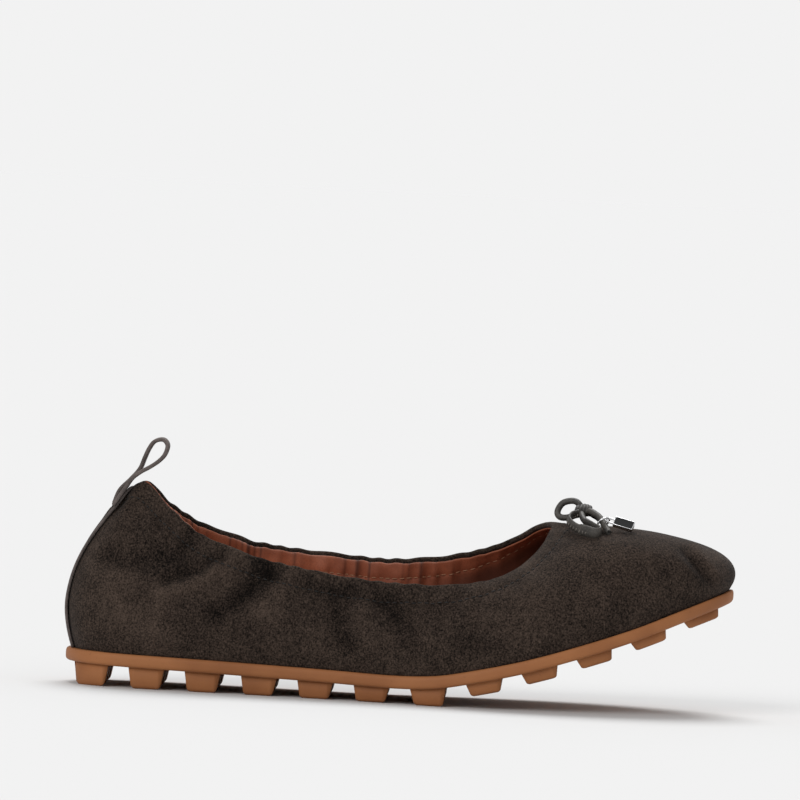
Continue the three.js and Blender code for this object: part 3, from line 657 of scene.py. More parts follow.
# At the back the folded edge rises past the suede's edge, and shows there as a thin tan line.
rows_down = (1 - wall_rows(lining_turns, lining_rows)[0]) * rib_lengths(lining_turns)[:, None]
back_share = 1 - ramp(36 * mm, 74 * mm, lining_points[..., 0])
near_share = 1 - ramp(-3 * mm, 3 * mm, lining_points[..., 1])
lining_points[..., 2] += edge_lift * back_share * near_share * (1 - ramp(2 * mm, 6 * mm, rows_down))
lining = wall_piece("lining_leather", lining_points)
# The ruffles' depth is kept for painted shade in the lining's folds.
set_values(lining, "folded", -lining_ruffle(lining_turns, lining_points, rows_down) / mm)
# Painted shadow: the lining deep under the throat is tinted darker.
throat_shadow = ramp(0.46, 0.62, lining_points[..., 0] / last_length)
set_values(lining, "deep", throat_shadow * ramp(5 * mm, 12 * mm, rows_down))
print("lining", len(lining.data.polygons), "faces")

# %% [markdown]
# Stitches are short rolled lengths of thread that sink into the leather at both ends. One stitch is
# shaped once and copied along each line, so a line of hundreds stays light.

# %% Stitches
def stitch_shape(length, thick):
    """One stitch along X, arched a little: a few small rings, closed at both ends."""
    profile = [(-0.5, 0.25, -0.6), (-0.36, 0.8, 0.0), (-0.12, 1.0, 0.35), (0.12, 1.0, 0.35), (0.36, 0.8, 0.0),
               (0.5, 0.25, -0.6)]
    angles = np.arange(6) / 6 * 2 * math.pi
    points = []
    for along, size, lift in profile:
        for angle in angles:
            points.append((along * length, math.cos(angle) * thick / 2 * size,
                           math.sin(angle) * thick / 2 * size + lift * thick / 2))
    faces = ring_faces(len(profile), 6)
    faces += [list(range(6))[::-1], [(len(profile) - 1) * 6 + s for s in range(6)]]
    return np.array(points), faces


def copied(name, shape, shape_faces, places, bases):
    """One piece with a copy of a shape at each place, turned as its basis says."""
    faces = [[i + n * len(shape) for i in face] for n in range(len(places)) for face in shape_faces]
    points = [shape @ basis + centre for centre, basis in zip(places, bases)]
    return new_piece(name, np.concatenate(points), faces)


def stitches(name, route, out, length, thick):
    """Copies of one stitch along a route, each turned to follow it and to face out of the leather."""
    bases = []
    for direction, face_out in zip(np.gradient(route, axis=0), out):
        along = direction / np.linalg.norm(direction)
        up = face_out - along * np.dot(face_out, along)
        up /= np.linalg.norm(up)
        bases.append(np.stack([along, np.cross(up, along), up]))
    return copied(name, *stitch_shape(length, thick), route, bases)


def line_on_wall(from_edge, outset, pitch, low=0.0, high=1.0, spread=1.0, ruffle=None):
    """Places along the wall at one distance below the collar's edge, and the directions out of it."""
    turns = np.linspace(low, high, 900)
    rows = [("down", from_edge, outset)]
    line = laid_on(turns, rows, spread, ruffle)[0][:, 0]
    out = skin(turns, wall_rows(turns, rows)[0])[1][:, 0]
    gone = way_along(line)
    at = np.arange(pitch / 2, gone[-1], pitch)
    return at_distances(at, gone, line), at_distances(at, gone, out)


casing_route, casing_out = line_on_wall(7.45 * mm, -0.02 * mm, 2.6 * mm, 0.035, 0.965)
casing_stitches = stitches("casing_stitches", casing_route, casing_out, 1.8 * mm, 0.46 * mm)
inside_route, inside_out = line_on_wall(7.5 * mm, -1.90 * mm, 3.0 * mm, 0.035, 0.965, 1.4, lining_ruffle)
lining_stitches = stitches("lining_stitches", inside_route, -inside_out, 2.1 * mm, 0.42 * mm)
print("stitches", len(casing_route), len(inside_route))

# %% [markdown]
# The insole is a thin leather-covered sheet with a soft rounded edge, which lies inside the wall.

# %% Insole
insole_clearance = 0.8 * mm


def sheet_rings(turns, profile, outset_at, height_at):
    """Rings of an outline: how far in from its edge, and how high."""
    rings = []
    for inward, height in profile:
        ring = plan_ring(turns, lambda x: outset_at(x) - inward)
        ring[:, 2] = height_at(ring[:, 0]) + height
        rings.append(ring)
    return rings


def outline_piece(name, rings):
    """A closed body through rings of an outline, closed across below and above."""
    count = len(rings[0])
    faces = ring_faces(len(rings), count)
    faces += strip_faces(count, flip=True)
    faces += strip_faces(count, start=(len(rings) - 1) * count)
    return new_piece(name, np.concatenate(rings), faces)


# how far in from the edge, and how high
insole_profile = np.array([(0.3, 0.0), (0.0, 0.4), (0.0, 1.3), (0.25, 1.75), (0.9, 2.0)]) * mm
insole_rings = sheet_rings(np.arange(240) / 240, insole_profile,
                           lambda x: np.full(len(x), -wall - insole_clearance),
                           lambda x: underside_at(x) + band_thickness + piece_gap)
insole = outline_piece("insole_sheet", insole_rings)
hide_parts("insole")
print("insole", len(insole.data.polygons), "faces")

# %% [markdown]
# The sole is one moulding of natural rubber: a band with rounded edges all round, and rows of blocks
# under it. The band is made from rings of the last's outline. The blocks are modelled once, by hand, from
# a cube, and each copy is bent to its own place: between the outline's two sides, and from the sole's
# underside down to its own foot.

# %% Rubber band
# how far in from the edge, and how high, as shares of the band's thickness
band_profile = np.array([(0.30, 0.00), (0.17, 0.02), (0.08, 0.08), (0.02, 0.18), (0.00, 0.32), (0.00, 0.62),
                         (0.015, 0.76), (0.05, 0.87), (0.11, 0.95), (0.20, 1.00), (0.40, 1.00)])
band_rings = sheet_rings(np.arange(480) / 480, band_profile * band_thickness, overhang_at, underside_at)
band = outline_piece("sole_band", band_rings)
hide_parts("outsole")
print("band", len(band.data.polygons), "faces")

# %% One stud
stud_length = 13.9 * mm
stud_width = 12 * mm
stud_drop = 7 * mm
stud_root = 2 * mm
stud_taper = 1.7 * mm
stud_corner = 2.4 * mm
stud_foot_edge = 1.4 * mm


def model_stud():
    """One block by hand: a cube, tapered to its foot, with soft corners and a soft foot edge."""
    middle = (stud_root - stud_drop) / 2
    block = block_to_edit((stud_length, stud_width, stud_root + stud_drop), (0, 0, middle))
    shape = bmesh.from_edit_mesh(block.data)
    for face in shape.faces:
        face.select_set(face.normal.z < -0.5)
    bpy.ops.transform.resize(value=(1 - 2 * stud_taper / stud_length, 1 - 2 * stud_taper / stud_width, 1))
    bpy.ops.mesh.select_all(action="DESELECT")
    for edge in shape.edges:
        edge.select_set(abs(edge.verts[0].co.z - edge.verts[1].co.z) > stud_drop / 2)
    bpy.ops.mesh.bevel(offset=stud_corner, segments=4, affect="EDGES")
    bpy.ops.mesh.select_all(action="DESELECT")
    for face in shape.faces:
        face.select_set(face.normal.z < -0.9)
    bpy.ops.mesh.region_to_loop()
    bpy.ops.mesh.bevel(offset=stud_foot_edge, segments=4, affect="EDGES")
    bpy.ops.mesh.select_all(action="DESELECT")
    for face in shape.faces:
        face.select_set(face.normal.z < -0.97)
    bpy.ops.mesh.inset(thickness=0.8 * mm)
    for place in (-0.3, -0.1, 0.1, 0.3):
        bpy.ops.mesh.select_all(action="SELECT")
        bpy.ops.mesh.bisect(plane_co=(place * stud_length, 0, 0), plane_no=(1, 0, 0))
    leave_edit()
    return block


stud_block = model_stud()
stud_points = np.array([vertex.co for vertex in stud_block.data.vertices])
stud_faces = [list(polygon.vertices) for polygon in stud_block.data.polygons]
bpy.data.objects.remove(stud_block)
print("stud", len(stud_faces), "faces, lowest", round(float(stud_points[:, 2].min()) / mm, 2))

# %% Rows of studs
stud_count = 12
resting_studs = 7
first_stud = 12.1 * mm
last_stud = 14.2 * mm
stud_spacing = 6.4 * mm
stud_inset = 1.7 * mm
fewest_across = 3
forefoot_stud_height = 5.2 * mm
toe_stud_height = 3.1 * mm
stud_edge = plan_ring(fine_turns, lambda x: overhang_at(x) - stud_inset)
sides = {outer: stud_edge[:721], inner: np.vstack([stud_edge[:1], stud_edge[:719:-1]])}


def stud_edge_at(x, side):
    line = sides[side]
    rising = np.maximum.accumulate(line[:, 0])
    return np.interp(x, rising, line[:, 1])


def place_along_sole(distance):
    """Distance from the heel of a place so far along the curved underside."""
    x = np.arange(0, last_length, 0.1 * mm)
    gone = np.concatenate([[0], np.cumsum(np.hypot(np.diff(x), np.diff(underside_at(x))))])
    return float(np.interp(distance, gone, x))


def fit_stud(x, low, high, slope, height, rests):
    """Points of one block, bent to lie between two side lines under the curved sole."""
    along, across, up = stud_points.T
    up = np.maximum(up, -stud_drop)
    place = x + along
    low_line = stud_edge_at(place, outer) if low is None else np.full(len(place), low)
    high_line = stud_edge_at(place, inner) if high is None else np.full(len(place), high)
    y = low_line + (across / stud_width + 0.5) * (high_line - low_line)
    depth = np.where(up < 0, -up * height / stud_drop, -up)
    z = underside_at(place) - math.cos(slope) * depth
    if rests:
        z = np.where(depth > 0, underside_at(place) * (1 - depth / height), z)
    return np.stack([place + math.sin(slope) * depth, y, z], axis=1)


sole_step = 0.1 * mm
sole_places = np.arange(0, last_length, sole_step)
sole_rises = underside_at(sole_places + sole_step) - underside_at(sole_places)
way_along_sole = float(np.hypot(sole_step, sole_rises).sum())
stud_pitch = (way_along_sole - first_stud - last_stud) / (stud_count - 1)
studs = []
for row in range(stud_count):
    x = place_along_sole(first_stud + row * stud_pitch)
    ends = underside_at(np.array([x - stud_length / 2, x + stud_length / 2]))
    slope = math.atan2(ends[1] - ends[0], stud_length)
    rests = row < resting_studs
    past = (row - resting_studs + 1) / (stud_count - resting_studs)
    height = float(underside_at(x)) if rests else (
        forefoot_stud_height + (toe_stud_height - forefoot_stud_height) * past)
    near, far = float(stud_edge_at(x, outer)), float(stud_edge_at(x, inner))
    number = max(fewest_across, round((far - near + stud_spacing) / (stud_width + stud_spacing)))
    width = (far - near - (number - 1) * stud_spacing) / number
    for i in range(number):
        start = near + i * (width + stud_spacing)
        studs.append(fit_stud(x, None if i == 0 else start, None if i == number - 1 else start + width,
                              slope, height, rests))
per_stud = len(stud_points)
stud_mesh_faces = [[i + n * per_stud for i in face] for n in range(len(studs)) for face in stud_faces]
stud_rows = new_piece("sole_studs", np.concatenate(studs), stud_mesh_faces)
print("studs", len(studs), "lowest mm", round(float(np.concatenate(studs)[:, 2].min()) / mm, 3))

# %% [markdown]
# A leather strip covers the back seam. Above the collar it turns over into the pull loop and comes back
# down beside itself. The strip is laid on the skin; the loop follows a short table of places, as shares
# of its height.

# %% Heel tape and pull loop
tape_width = 16 * mm
tape_thickness = 1.1 * mm
tape_clearance = 0.45 * mm
tape_foot = 0.2 * mm
tape_top = 3.2 * mm
tape_crown = 0.7 * mm
pull_loop_height = 20 * mm
pull_loop_width = 8 * mm
pull_loop_thickness = 1.5 * mm
# ahead, side, up, width
PULL_LOOP = [
    (-0.172, 0.00, -0.17, 1.70), (-0.08, 0.00, 0.08, 1.30), (0.11, 0.00, 0.29, 1.05), (0.27, 0.00, 0.49, 1.00),
    (0.35, 0.00, 0.70, 1.00), (0.42, 0.00, 0.87, 1.00), (0.52, -0.02, 1.01, 1.00), (0.68, -0.07, 1.05, 1.00),
    (0.77, -0.16, 0.95, 0.97), (0.73, -0.26, 0.78, 0.93), (0.62, -0.35, 0.65, 0.85), (0.47, -0.42, 0.54, 0.75),
    (0.32, -0.43, 0.45, 0.68), (0.16, -0.42, 0.32, 0.62), (0.05, -0.41, 0.15, 0.57),
    (-0.06, -0.42, -0.02, 0.53), (-0.17, -0.43, -0.20, 0.50),
]


def strip_section(reach, thick, rounding):
    """Outline of a leather strip across its width: flat, with softened corners. Side first, then height."""
    corner = min(rounding, thick / 2)
    places = []
    for side, up, start in ((1, -1, -90), (1, 1, 0), (-1, 1, 90), (-1, -1, 180)):
        for step in range(4):
            angle = math.radians(start + step * 30)
            places.append((side * (reach - corner) + corner * math.cos(angle),
                           up * (thick / 2 - corner) + corner * math.sin(angle)))
    return np.array(places)


def heel_tape_points():
    """Rings of the strip over the back seam."""
    height = float(rib_lengths(np.array([0.0]))[0])
    shares = np.linspace(tape_foot / height, 1 - tape_top / height, 46)
    turns = np.linspace(-0.08, 0.08, 121)
    points, out = skin(turns, shares)
    section = strip_section(tape_width / 2, tape_thickness, 0.4 * mm)
    rings = []
    for k, share in enumerate(shares):
        from_edge = (1 - share) * height
        step = casing_step * float(ramp(casing_depth + 1 * mm, casing_depth - 2 * mm, from_edge))
        middle = tape_clearance + tape_thickness / 2 + step
        ring = []
        for side, up in section:
            turn = np.interp(-side, -points[:, k, 1], turns)
            at = [np.interp(turn, turns, points[:, k, axis]) for axis in range(3)]
            face_out = [np.interp(turn, turns, out[:, k, axis]) for axis in range(3)]
            crown = tape_crown * (1 - (side / (tape_width / 2)) ** 2)
            ring.append(np.array(at) + np.array(face_out) * (middle + up + (crown if up > 0 else 0)))
        rings.append(ring)
    return np.array(rings)


def closed_strip(name, rings):
    """A closed strip through rings of points, with its two ends closed."""
    count, per_ring = rings.shape[:2]
    faces = ring_faces(count, per_ring)
    faces += [list(range(per_ring))[::-1], [(count - 1) * per_ring + s for s in range(per_ring)]]
    piece = new_piece(name, rings.reshape(-1, 3), faces)
    edit(piece)
    bpy.ops.mesh.normals_make_consistent(inside=False)
    leave_edit()
    return piece


def pull_loop_points():
    """Rings of the loop, each a strip section across the route."""
    rows = np.array(PULL_LOOP)
    route = smooth_route(rows[:, :3] * pull_loop_height + collar_line([0.0])[0], 150)
    width_rows = np.column_stack([rows[:, 3], np.arange(len(rows)), np.zeros(len(rows))])
    widths = smooth_route(width_rows, 150)[:, 0]
    ahead = np.gradient(route, axis=0)
    ahead /= np.linalg.norm(ahead, axis=1, keepdims=True)
    rings = []
    for centre, direction, width in zip(route, ahead, widths):
        over = np.array([-direction[2], 0, direction[0]])
        over /= np.linalg.norm(over)
        section = strip_section(width * pull_loop_width / 2, pull_loop_thickness, 0.6 * mm)
        rings.append([centre + np.array([0, 1, 0]) * side + over * up for side, up in section])
    return np.array(rings)


heel_tape = closed_strip("heel_tape_strip", heel_tape_points())
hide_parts("heel_tape")
pull_loop = closed_strip("pull_loop_strip", pull_loop_points())
print("tape and loop", len(heel_tape.data.polygons), len(pull_loop.data.polygons))

# %% [markdown]
# The knot is the cord wrapped tightly over itself. Five tight turns of cord round the crossing give its
# ribbed look. The near loop's seam is closed by small slanting stitches, on the side that faces outwards
# and down.

# %% Knot and cord stitches
knot_wire = 1.75 * mm
knot_rise = 0.35 * mm
stitched_share = 0.62
stitch_slant = 0.35


def knot_wrap(name, ahead, tilt, reach, high):
    """One turn of the tightened cord round the knot."""
    angles = np.linspace(0, 2 * math.pi, 60, endpoint=False)
    across = reach * np.cos(angles)
    ring = np.stack([ahead + tilt * np.sin(angles), across, high * np.sin(angles)], axis=1)
    return tube(name, ring + knot_centre + np.array([0, 0, knot_rise]), knot_wire / 2, closed=True)


# place ahead of the knot's middle, tilt, reach to the side, height
KNOT_TURNS = [(-2.5, 0.4, 2.4, 1.1), (-1.25, 0.5, 3.0, 1.45), (0.0, 0.3, 3.2, 1.6), (1.25, 0.1, 3.0, 1.45),
              (2.4, -0.1, 2.5, 1.1)]
knot_wraps = [knot_wrap("knot_wrap_" + str(i + 1), *(np.array(row) * mm))
              for i, row in enumerate(KNOT_TURNS)]


def seam_on_cord(route, pitch, facing):
    """Places of the cord's seam, on the side of the cord that faces one way, and the directions out of it."""
    ahead = frames_along(route)[0]
    out = facing - ahead * (ahead @ facing)[:, None]
    out /= np.linalg.norm(out, axis=1, keepdims=True)
    gone = way_along(route)
    stitched = stitched_share * (loop_end - loop_start)
    at = np.arange(loop_start * gone[-1] + pitch, (loop_start + stitched) * gone[-1], pitch)
    line = route + np.array([flattened(o[None] * cord_diameter / 2, i)[0] for i, o in enumerate(out)])
    return [at_distances(at, gone, values) for values in (line, out, ahead)]


def cord_stitches(name, route, facing):
    """Short stitches across the cord's seam."""
    places, out, ahead = seam_on_cord(route, 1.4 * mm, np.array(facing))
    bases = []
    for up, along in zip(out, ahead):
        up = up / np.linalg.norm(up)
        across = np.cross(up, along)
        slant = across / np.linalg.norm(across) + stitch_slant * along / np.linalg.norm(along)
        slant /= np.linalg.norm(slant)
        bases.append(np.stack([slant, np.cross(up, slant), up]))
    return copied(name, *stitch_shape(1.6 * mm, 0.5 * mm), places, bases)


bow_stitches = cord_stitches("bow_stitches", cord_route, (-0.25, -0.80, -0.55))
print("bow stitches", len(bow_stitches.data.polygons))

# %% [markdown]
# A jump ring of silver wire hangs round the near end of the cord. It is bent wire with a small gap. The
# charm hangs on it: a plain tag with a sunk dark face, modelled from a cube by bevel and inset, and a
# wire shackle.

# %% Ring and charm
ring_diameter = 5.4 * mm
ring_wire = 0.7 * mm
ring_centre = from_knot([(0.76, -0.95, -0.33)])[0]
ring_axis = np.array([0.45, -0.55, -0.70])
ring_axis /= np.linalg.norm(ring_axis)
ring_radius = (ring_diameter - ring_wire) / 2
to_contact = np.array([1.0, 0, 0]) - ring_axis[0] * ring_axis
to_contact /= np.linalg.norm(to_contact)
hinge = ring_centre + to_contact * ring_radius
hinge_axis = np.cross(ring_axis, to_contact)
ring_angles = np.radians(np.linspace(150, 150 + 352, 90))
ring_route = ring_centre + ring_radius * (np.cos(ring_angles)[:, None] * to_contact
                                          + np.sin(ring_angles)[:, None] * hinge_axis)
jump_ring = tube("jump_ring", ring_route, ring_wire / 2, sides=14)
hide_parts("charm_ring")

charm_length = 7.6 * mm
charm_width = 3.8 * mm
charm_thickness = 2.1 * mm
shackle_wire = 0.7 * mm
shackle_length = 3.2 * mm
shackle_width = 2.5 * mm
charm_droop = math.radians(21)
lengthwise = np.array([math.cos(charm_droop), 0, -math.sin(charm_droop)])
lengthwise -= hinge_axis * np.dot(lengthwise, hinge_axis)
lengthwise /= np.linalg.norm(lengthwise)
sideways = np.cross(hinge_axis, lengthwise)
charm_start = shackle_length - shackle_wire - ring_wire / 2 - piece_gap


def place_charm(points):
    """Points of the charm's own place, with X along it and Z out of its face, put where it hangs."""
    basis = np.stack([lengthwise, sideways, hinge_axis])
    return (np.asarray(points) + np.array([charm_start, 0, 0])) @ basis + hinge


def model_tag():
    """The tag by hand: a cube with soft edges, whose top and under faces are sunk inside a rim."""
    tag = block_to_edit((charm_length, charm_width, charm_thickness), (charm_length / 2, 0, 0))
    bpy.ops.mesh.bevel(offset=0.2 * mm, segments=4, affect="EDGES")
    shape = bmesh.from_edit_mesh(tag.data)
    for face in shape.faces:
        face.select_set(abs(face.normal.z) > 0.99)
    bpy.ops.mesh.inset(thickness=0.05 * mm)
    bpy.ops.mesh.inset(thickness=0.06 * mm, depth=-0.14 * mm)
    leave_edit()
    return tag


tag = model_tag()
for vertex, point in zip(tag.data.vertices, place_charm([v.co for v in tag.data.vertices])):
    vertex.co = point + frame_shift
tag.name = "charm_tag"
for polygon in tag.data.polygons:
    polygon.use_smooth = polygon.area < (0.8 * mm) ** 2
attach(tag, "charm")
half = (shackle_width - shackle_wire) / 2
bend = shackle_wire / 2 - shackle_length
shackle_route = smooth_route([(shackle_wire, -half, 0), (bend / 2, -half, 0), (bend * 0.9, -half * 0.7, 0),
                              (bend, 0, 0), (bend * 0.9, half * 0.7, 0), (bend / 2, half, 0),
                              (shackle_wire, half, 0)], 60)
shackle = tube("charm_shackle", place_charm(shackle_route), shackle_wire / 2, sides=12, body="charm")
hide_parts("charm")
cord_exit = knot_centre + frame_shift - np.array([0, 0, knot_lift / 2])
print("charm", len(tag.data.polygons), "hinge", hinge + frame_shift)

# %% [markdown]
# Finishes are worked out from sums of patterns, so a small class lets Python's own signs build the
# shader's maths. Each expression on a value adds a Math node, and one method makes any other node.

# %% Shader maths
class Value:
    """A shader socket that can be added, multiplied and so on."""

    def __init__(self, shader, socket):
        self.shader = shader
        self.socket = socket

    def _math(self, operation, first, second=None):
        return self.shader.node("ShaderNodeMath", {"operation": operation}, {0: first, 1: second})[0]

    def __add__(self, other):
        return self._math("ADD", self, other)

    def __sub__(self, other):
        return self._math("SUBTRACT", self, other)

    def __mul__(self, other):
        return self._math("MULTIPLY", self, other)

    __radd__ = __add__

    def rise(self, low, high):
        """0 below low and 1 above high, smooth between."""
        settings = {"interpolation_type": "SMOOTHSTEP"}
        values = {0: self, 1: low, 2: high, 3: 0.0, 4: 1.0}
        return self.shader.node("ShaderNodeMapRange", settings, values)[0]


class Shader:
    """A material and the nodes that make it."""

    def __init__(self, name):
        self.material = bpy.data.materials.new(name)
        self.material.use_nodes = True
        self.tree = self.material.node_tree
        self.surface = self.tree.nodes["Principled BSDF"]
        self.place = self.node("ShaderNodeTexCoord", {}, {}, "Object")[0]

    def feed(self, socket, value):
        """Gives a socket its value, or a link from another one."""
        if isinstance(value, Value):
            self.tree.links.new(value.socket, socket)
        else:
            socket.default_value = value

    def node(self, kind, settings, values, output=None):
        """The outputs of a new node, from its kind, its settings and the values or links of its sockets."""
        made = self.tree.nodes.new(kind)
        for key, value in settings.items():
            setattr(made, key, value)
        for key, value in values.items():
            if value is not None:
                self.feed(made.inputs[key], value)
        chosen = [made.outputs[output]] if output else list(made.outputs)
        return [Value(self, socket) for socket in chosen]

    def noise(self, size, detail, rough, stretch=None):
        """Noise with swells of about one size, in metres."""
        where = self.place
        if stretch:
            where = self.node("ShaderNodeMapping", {}, {"Vector": where, "Scale": stretch})[0]
        values = {"Vector": where, "Scale": 1 / size, "Detail": detail, "Roughness": rough}
        return self.node("ShaderNodeTexNoise", {}, values, "Fac")[0]

    def number(self, name):
        """A number stored at the piece's vertices."""
        return self.node("ShaderNodeAttribute", {"attribute_name": name}, {}, "Fac")[0]

    def blend(self, share, first, second):
        """One colour to another by a share."""
        made = self.tree.nodes.new("ShaderNodeMix")
        made.data_type = "RGBA"
        for key, value in (("Factor", share), ("A", first), ("B", second)):
            socket = [s for s in made.inputs if s.name == key and s.enabled][0]
            self.feed(socket, (*value, 1) if isinstance(value, tuple) else value)
        return Value(self, [s for s in made.outputs if s.enabled][0])

    def bump(self, height, depth, strength):
        """Fine relief of a depth in metres."""
        values = {"Height": height, "Distance": depth, "Strength": strength}
        normal = self.node("ShaderNodeBump", {}, values, "Normal")[0]
        self.tree.links.new(normal.socket, self.surface.inputs["Normal"])

    def set(self, **values):
        """Values or links on the main shader, named as its sockets are with _ for a space."""
        for key, value in values.items():
            self.feed(self.surface.inputs[key.replace("_", " ")], value)

    def paint(self, *painted):
        for piece in painted:
            piece.data.materials.clear()
            piece.data.materials.append(self.material)


def tone(red, green, blue):
    """A colour given as it looks on a screen, 0 to 255, as the shader needs it."""
    shares = [value / 255 for value in (red, green, blue)]
    return tuple(((v + 0.055) / 1.055) ** 2.4 if v > 10 / 255 else v / 12.92 for v in shares)


# %% [markdown]
# Suede is the sueded flesh side of leather: a short dense nap with no gloss. Its colour shifts in soft
# clouds where the nap lies one way or the other, and fine flecks show between the fibres. Ridges get a
# little painted highlight and the bottoms of folds a painted shade.

# %% Suede
def suede_finish():
    shader = Shader("suede_nap")
    clouds = shader.noise(14 * mm, 3, 0.55)
    patches = shader.noise(4 * mm, 3, 0.6)
    nap = shader.noise(0.66 * mm, 3, 0.75)
    fleck = shader.noise(0.32 * mm, 2, 0.6)
    fibre = shader.noise(0.5 * mm, 3, 0.7, stretch=(1.0, 1.0, 0.35))
    pressed = shader.number("pressed")
    # Less the crease depth: painted shade in the bottoms of folds, painted highlight on the ridges.
    lie = clouds * 0.2 + patches * 0.15 + nap * 0.9 + fibre * 0.4 - pressed * 0.07
    colour = shader.blend(lie.rise(0.60, 1.20), tone(7, 5, 4), tone(88, 74, 65))
    colour = shader.blend(fleck.rise(0.6, 0.8) * 0.4, colour, tone(104, 90, 79))
    shader.set(Base_Color=colour, Roughness=0.95, Sheen_Weight=0.06, Sheen_Roughness=0.4,
               Specular_IOR_Level=0.08)
    shader.bump(nap * 0.6 + fleck * 0.3 + fibre * 0.4, 0.34 * mm, 1.0)
    return shader


suede_nap = suede_finish()
suede_nap.paint(suede)

# %% [markdown]
# Lining leather is smooth and tan, with a fine grain, a low sheen and darker hollows. Natural rubber is
# matt tan, a little cloudy, with fine darker specks. The lining's folds are tinted darker as painted shade,
# and its depths under the throat as painted shadow.

# %% Lining, rubber and thread
def lining_finish():
    shader = Shader("lining_grain")
    clouds = shader.noise(9 * mm, 2, 0.5)
    grain = shader.noise(0.6 * mm, 3, 0.6)
    colour = shader.blend(clouds.rise(0.3, 0.7), tone(134, 74, 50), tone(162, 94, 66))
    colour = shader.blend(grain.rise(0.45, 0.7) * 0.3, colour, tone(106, 58, 40))
    # Painted shade in the lining's folds.
    colour = shader.blend(shader.number("folded").rise(0.12, 0.8) * 0.8, colour, tone(58, 26, 16))
    # Painted shadow deep under the throat.
    colour = shader.blend(shader.number("deep") * 0.8, colour, tone(50, 24, 17))
    shader.set(Base_Color=colour, Roughness=0.5 + grain * 0.15, Specular_IOR_Level=0.4)
    shader.bump(grain, 0.05 * mm, 0.6)
    return shader


def rubber_finish():
    shader = Shader("natural_rubber")
    clouds = shader.noise(22 * mm, 2, 0.5)
    grain = shader.noise(0.5 * mm, 3, 0.65)
    speck = shader.noise(1.1 * mm, 2, 0.5)
    colour = shader.blend(clouds.rise(0.3, 0.7), tone(141, 89, 53), tone(158, 103, 63))
    colour = shader.blend(speck.rise(0.62, 0.8) * 0.35, colour, tone(112, 70, 45))
    shader.set(Base_Color=colour, Roughness=0.55 + grain * 0.12, Specular_IOR_Level=0.25)
    shader.bump(grain * 0.6 + speck * 0.3, 0.05 * mm, 0.5)
    return shader


def thread_finish(name, dark, light):
    shader = Shader(name)
    twist = shader.noise(0.35 * mm, 2, 0.5)
    shader.set(Base_Color=shader.blend(twist.rise(0.35, 0.65), dark, light), Roughness=0.75)
    shader.bump(twist, 0.05 * mm, 0.6)
    return shader


lining_grain = lining_finish()
lining_grain.paint(lining, insole)
natural_rubber = rubber_finish()
natural_rubber.paint(band, stud_rows)
dark_thread = thread_finish("dark_thread", tone(11, 9, 8), tone(24, 20, 18))
dark_thread.paint(casing_stitches)
tan_thread = thread_finish("tan_thread", tone(132, 92, 68), tone(166, 122, 92))
tan_thread.paint(lining_stitches)

# %% [markdown]
# The tape and the cord are grey-brown grained leather. The tape's face is paler where the light grazes
# it. The silver is polished, and the tag's sunk face is dark enamel.

# %% Tape, cord and metal
def leather_finish(name, dark, light, rough):
    shader = Shader(name)
    clouds = shader.noise(5 * mm, 3, 0.6)
    grain = shader.noise(0.45 * mm, 3, 0.7)
    pores = shader.noise(0.25 * mm, 2, 0.5)
    colour = shader.blend((clouds * 0.5 + grain * 0.5).rise(0.38, 0.62), dark, light)
    shader.set(Base_Color=colour, Roughness=rough + grain * 0.15, Specular_IOR_Level=0.4)
    shader.bump(grain * 0.6 + pores * 0.4, 0.09 * mm, 0.8)
    return shader


tape_grain = leather_finish("tape_grain", tone(70, 62, 59), tone(100, 90, 86), 0.6)
tape_grain.paint(heel_tape, pull_loop)
cord_grain = leather_finish("cord_grain", tone(42, 40, 38), tone(76, 72, 67), 0.42)
cord_grain.paint(bow_cord)
# The knot's turns are the cord's own leather in a darker copy: painted shade.
shaded_knot_grain = leather_finish("shaded_knot_grain", tone(26, 25, 25), tone(66, 62, 59), 0.5)
shaded_knot_grain.paint(*knot_wraps)
cord_thread = thread_finish("cord_thread", tone(84, 79, 74), tone(134, 127, 119))
cord_thread.paint(bow_stitches)


def silver_finish():
    shader = Shader("polished_silver")
    scratch = shader.noise(0.8 * mm, 3, 0.6)
    shader.set(Base_Color=(0.72, 0.72, 0.73, 1), Metallic=1.0, Roughness=0.14 + scratch * 0.12)
    shader.bump(scratch, 0.01 * mm, 0.3)
    return shader


def enamel_finish():
    shader = Shader("dark_enamel")
    grain = shader.noise(0.3 * mm, 2, 0.6)
    colour = shader.blend(grain, tone(16, 16, 17), tone(30, 30, 31))
    shader.set(Base_Color=colour, Roughness=0.5 + grain * 0.1, Specular_IOR_Level=0.25)
    shader.bump(grain, 0.02 * mm, 0.4)
    return shader


polished_silver = silver_finish()
polished_silver.paint(jump_ring, tag, shackle)
dark_enamel = enamel_finish()
tag.data.materials.append(dark_enamel.material)
face_out = Vector(hinge_axis)
least_area = charm_length * charm_width / 3
sunk = [p for p in tag.data.polygons if abs(p.normal.dot(face_out)) > 0.99 and p.area > least_area]
for polygon in sunk:
    polygon.material_index = 1
print("sunk faces", len(sunk))

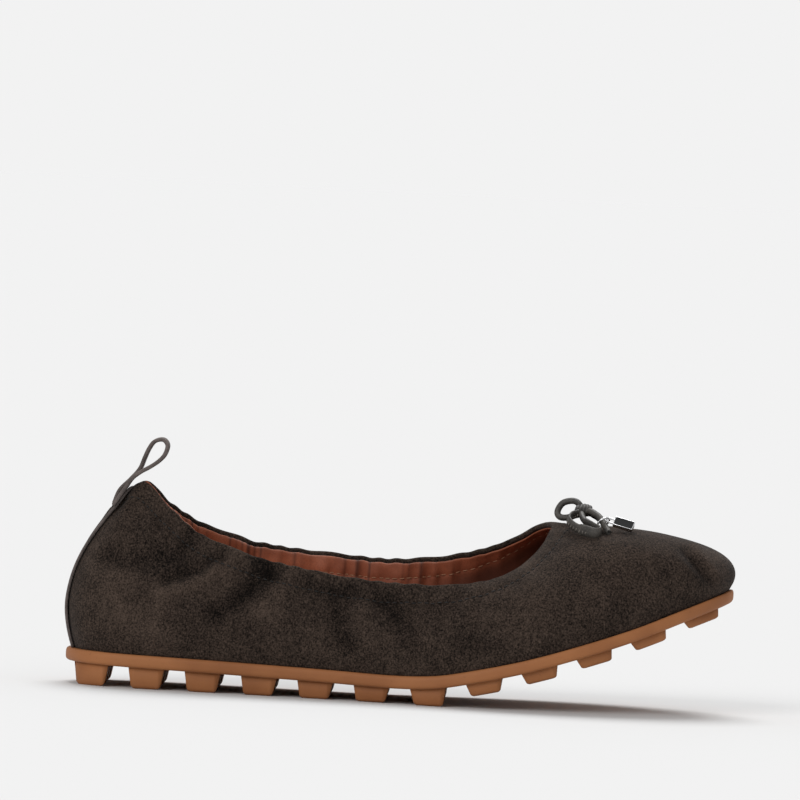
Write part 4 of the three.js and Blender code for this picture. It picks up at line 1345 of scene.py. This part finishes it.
# %% [markdown]
# A pale floor runs far back, as pale as the air behind it, so that the two meet with no line. A broad
# soft light from above and behind falls the same everywhere, so that the floor stays even, and throws the
# soft shadow forward. A weaker one from the front and the heel side shows the nap. The pale surroundings
# fill the rest. They have two strengths: near white where the camera sees them, and weaker where they
# light the shoe.

# %% Floor and light
def add_broad_light(name, coming_from, strength, spread):
    """Light that falls from one side all over, soft because it comes from a wide part of the sky."""
    lamp = bpy.data.objects.new(name, bpy.data.lights.new(name, "SUN"))
    bpy.context.scene.collection.objects.link(lamp)
    lamp.rotation_euler = Vector(coming_from).to_track_quat("Z", "Y").to_euler()
    lamp.data.energy = strength
    lamp.data.angle = math.radians(spread)
    return Vector(coming_from).normalized().z * strength / math.pi


def pale_surroundings(seen, given):
    """White air of two strengths: one that the camera sees, and one that lights the shoe."""
    world = bpy.data.worlds.new("studio")
    bpy.context.scene.world = world
    world.use_nodes = True
    tree = world.node_tree
    background = tree.nodes["Background"]
    background.inputs["Color"].default_value = (1, 1, 1, 1)
    look = tree.nodes.new("ShaderNodeLightPath")
    strength = tree.nodes.new("ShaderNodeMapRange")
    strength.inputs["To Min"].default_value = given
    strength.inputs["To Max"].default_value = seen
    tree.links.new(look.outputs["Is Camera Ray"], strength.inputs["Value"])
    tree.links.new(strength.outputs["Result"], background.inputs["Strength"])


pale = tone(242, 242, 242)[0]
fill = 0.5
pale_surroundings(pale, fill)
falling = add_broad_light("light_above", (0.0, 0.5, 1.0), 2.3, 36)
falling += add_broad_light("light_front", (-0.6, -1.0, 0.7), 1.1, 30)
floor_shade = pale / (fill + falling)
print("floor shade", round(floor_shade, 3))

bpy.ops.object.select_all(action="DESELECT")
bpy.ops.mesh.primitive_plane_add(size=400, location=(0, 0, 0))
floor = bpy.context.active_object
floor.name = "floor"
floor_paint = Shader("pale_floor")
floor_paint.set(Base_Color=(floor_shade, floor_shade, floor_shade, 1), Roughness=1.0, Specular_IOR_Level=0.0)
floor_paint.paint(floor)
bpy.context.scene.view_settings.view_transform = "Standard"
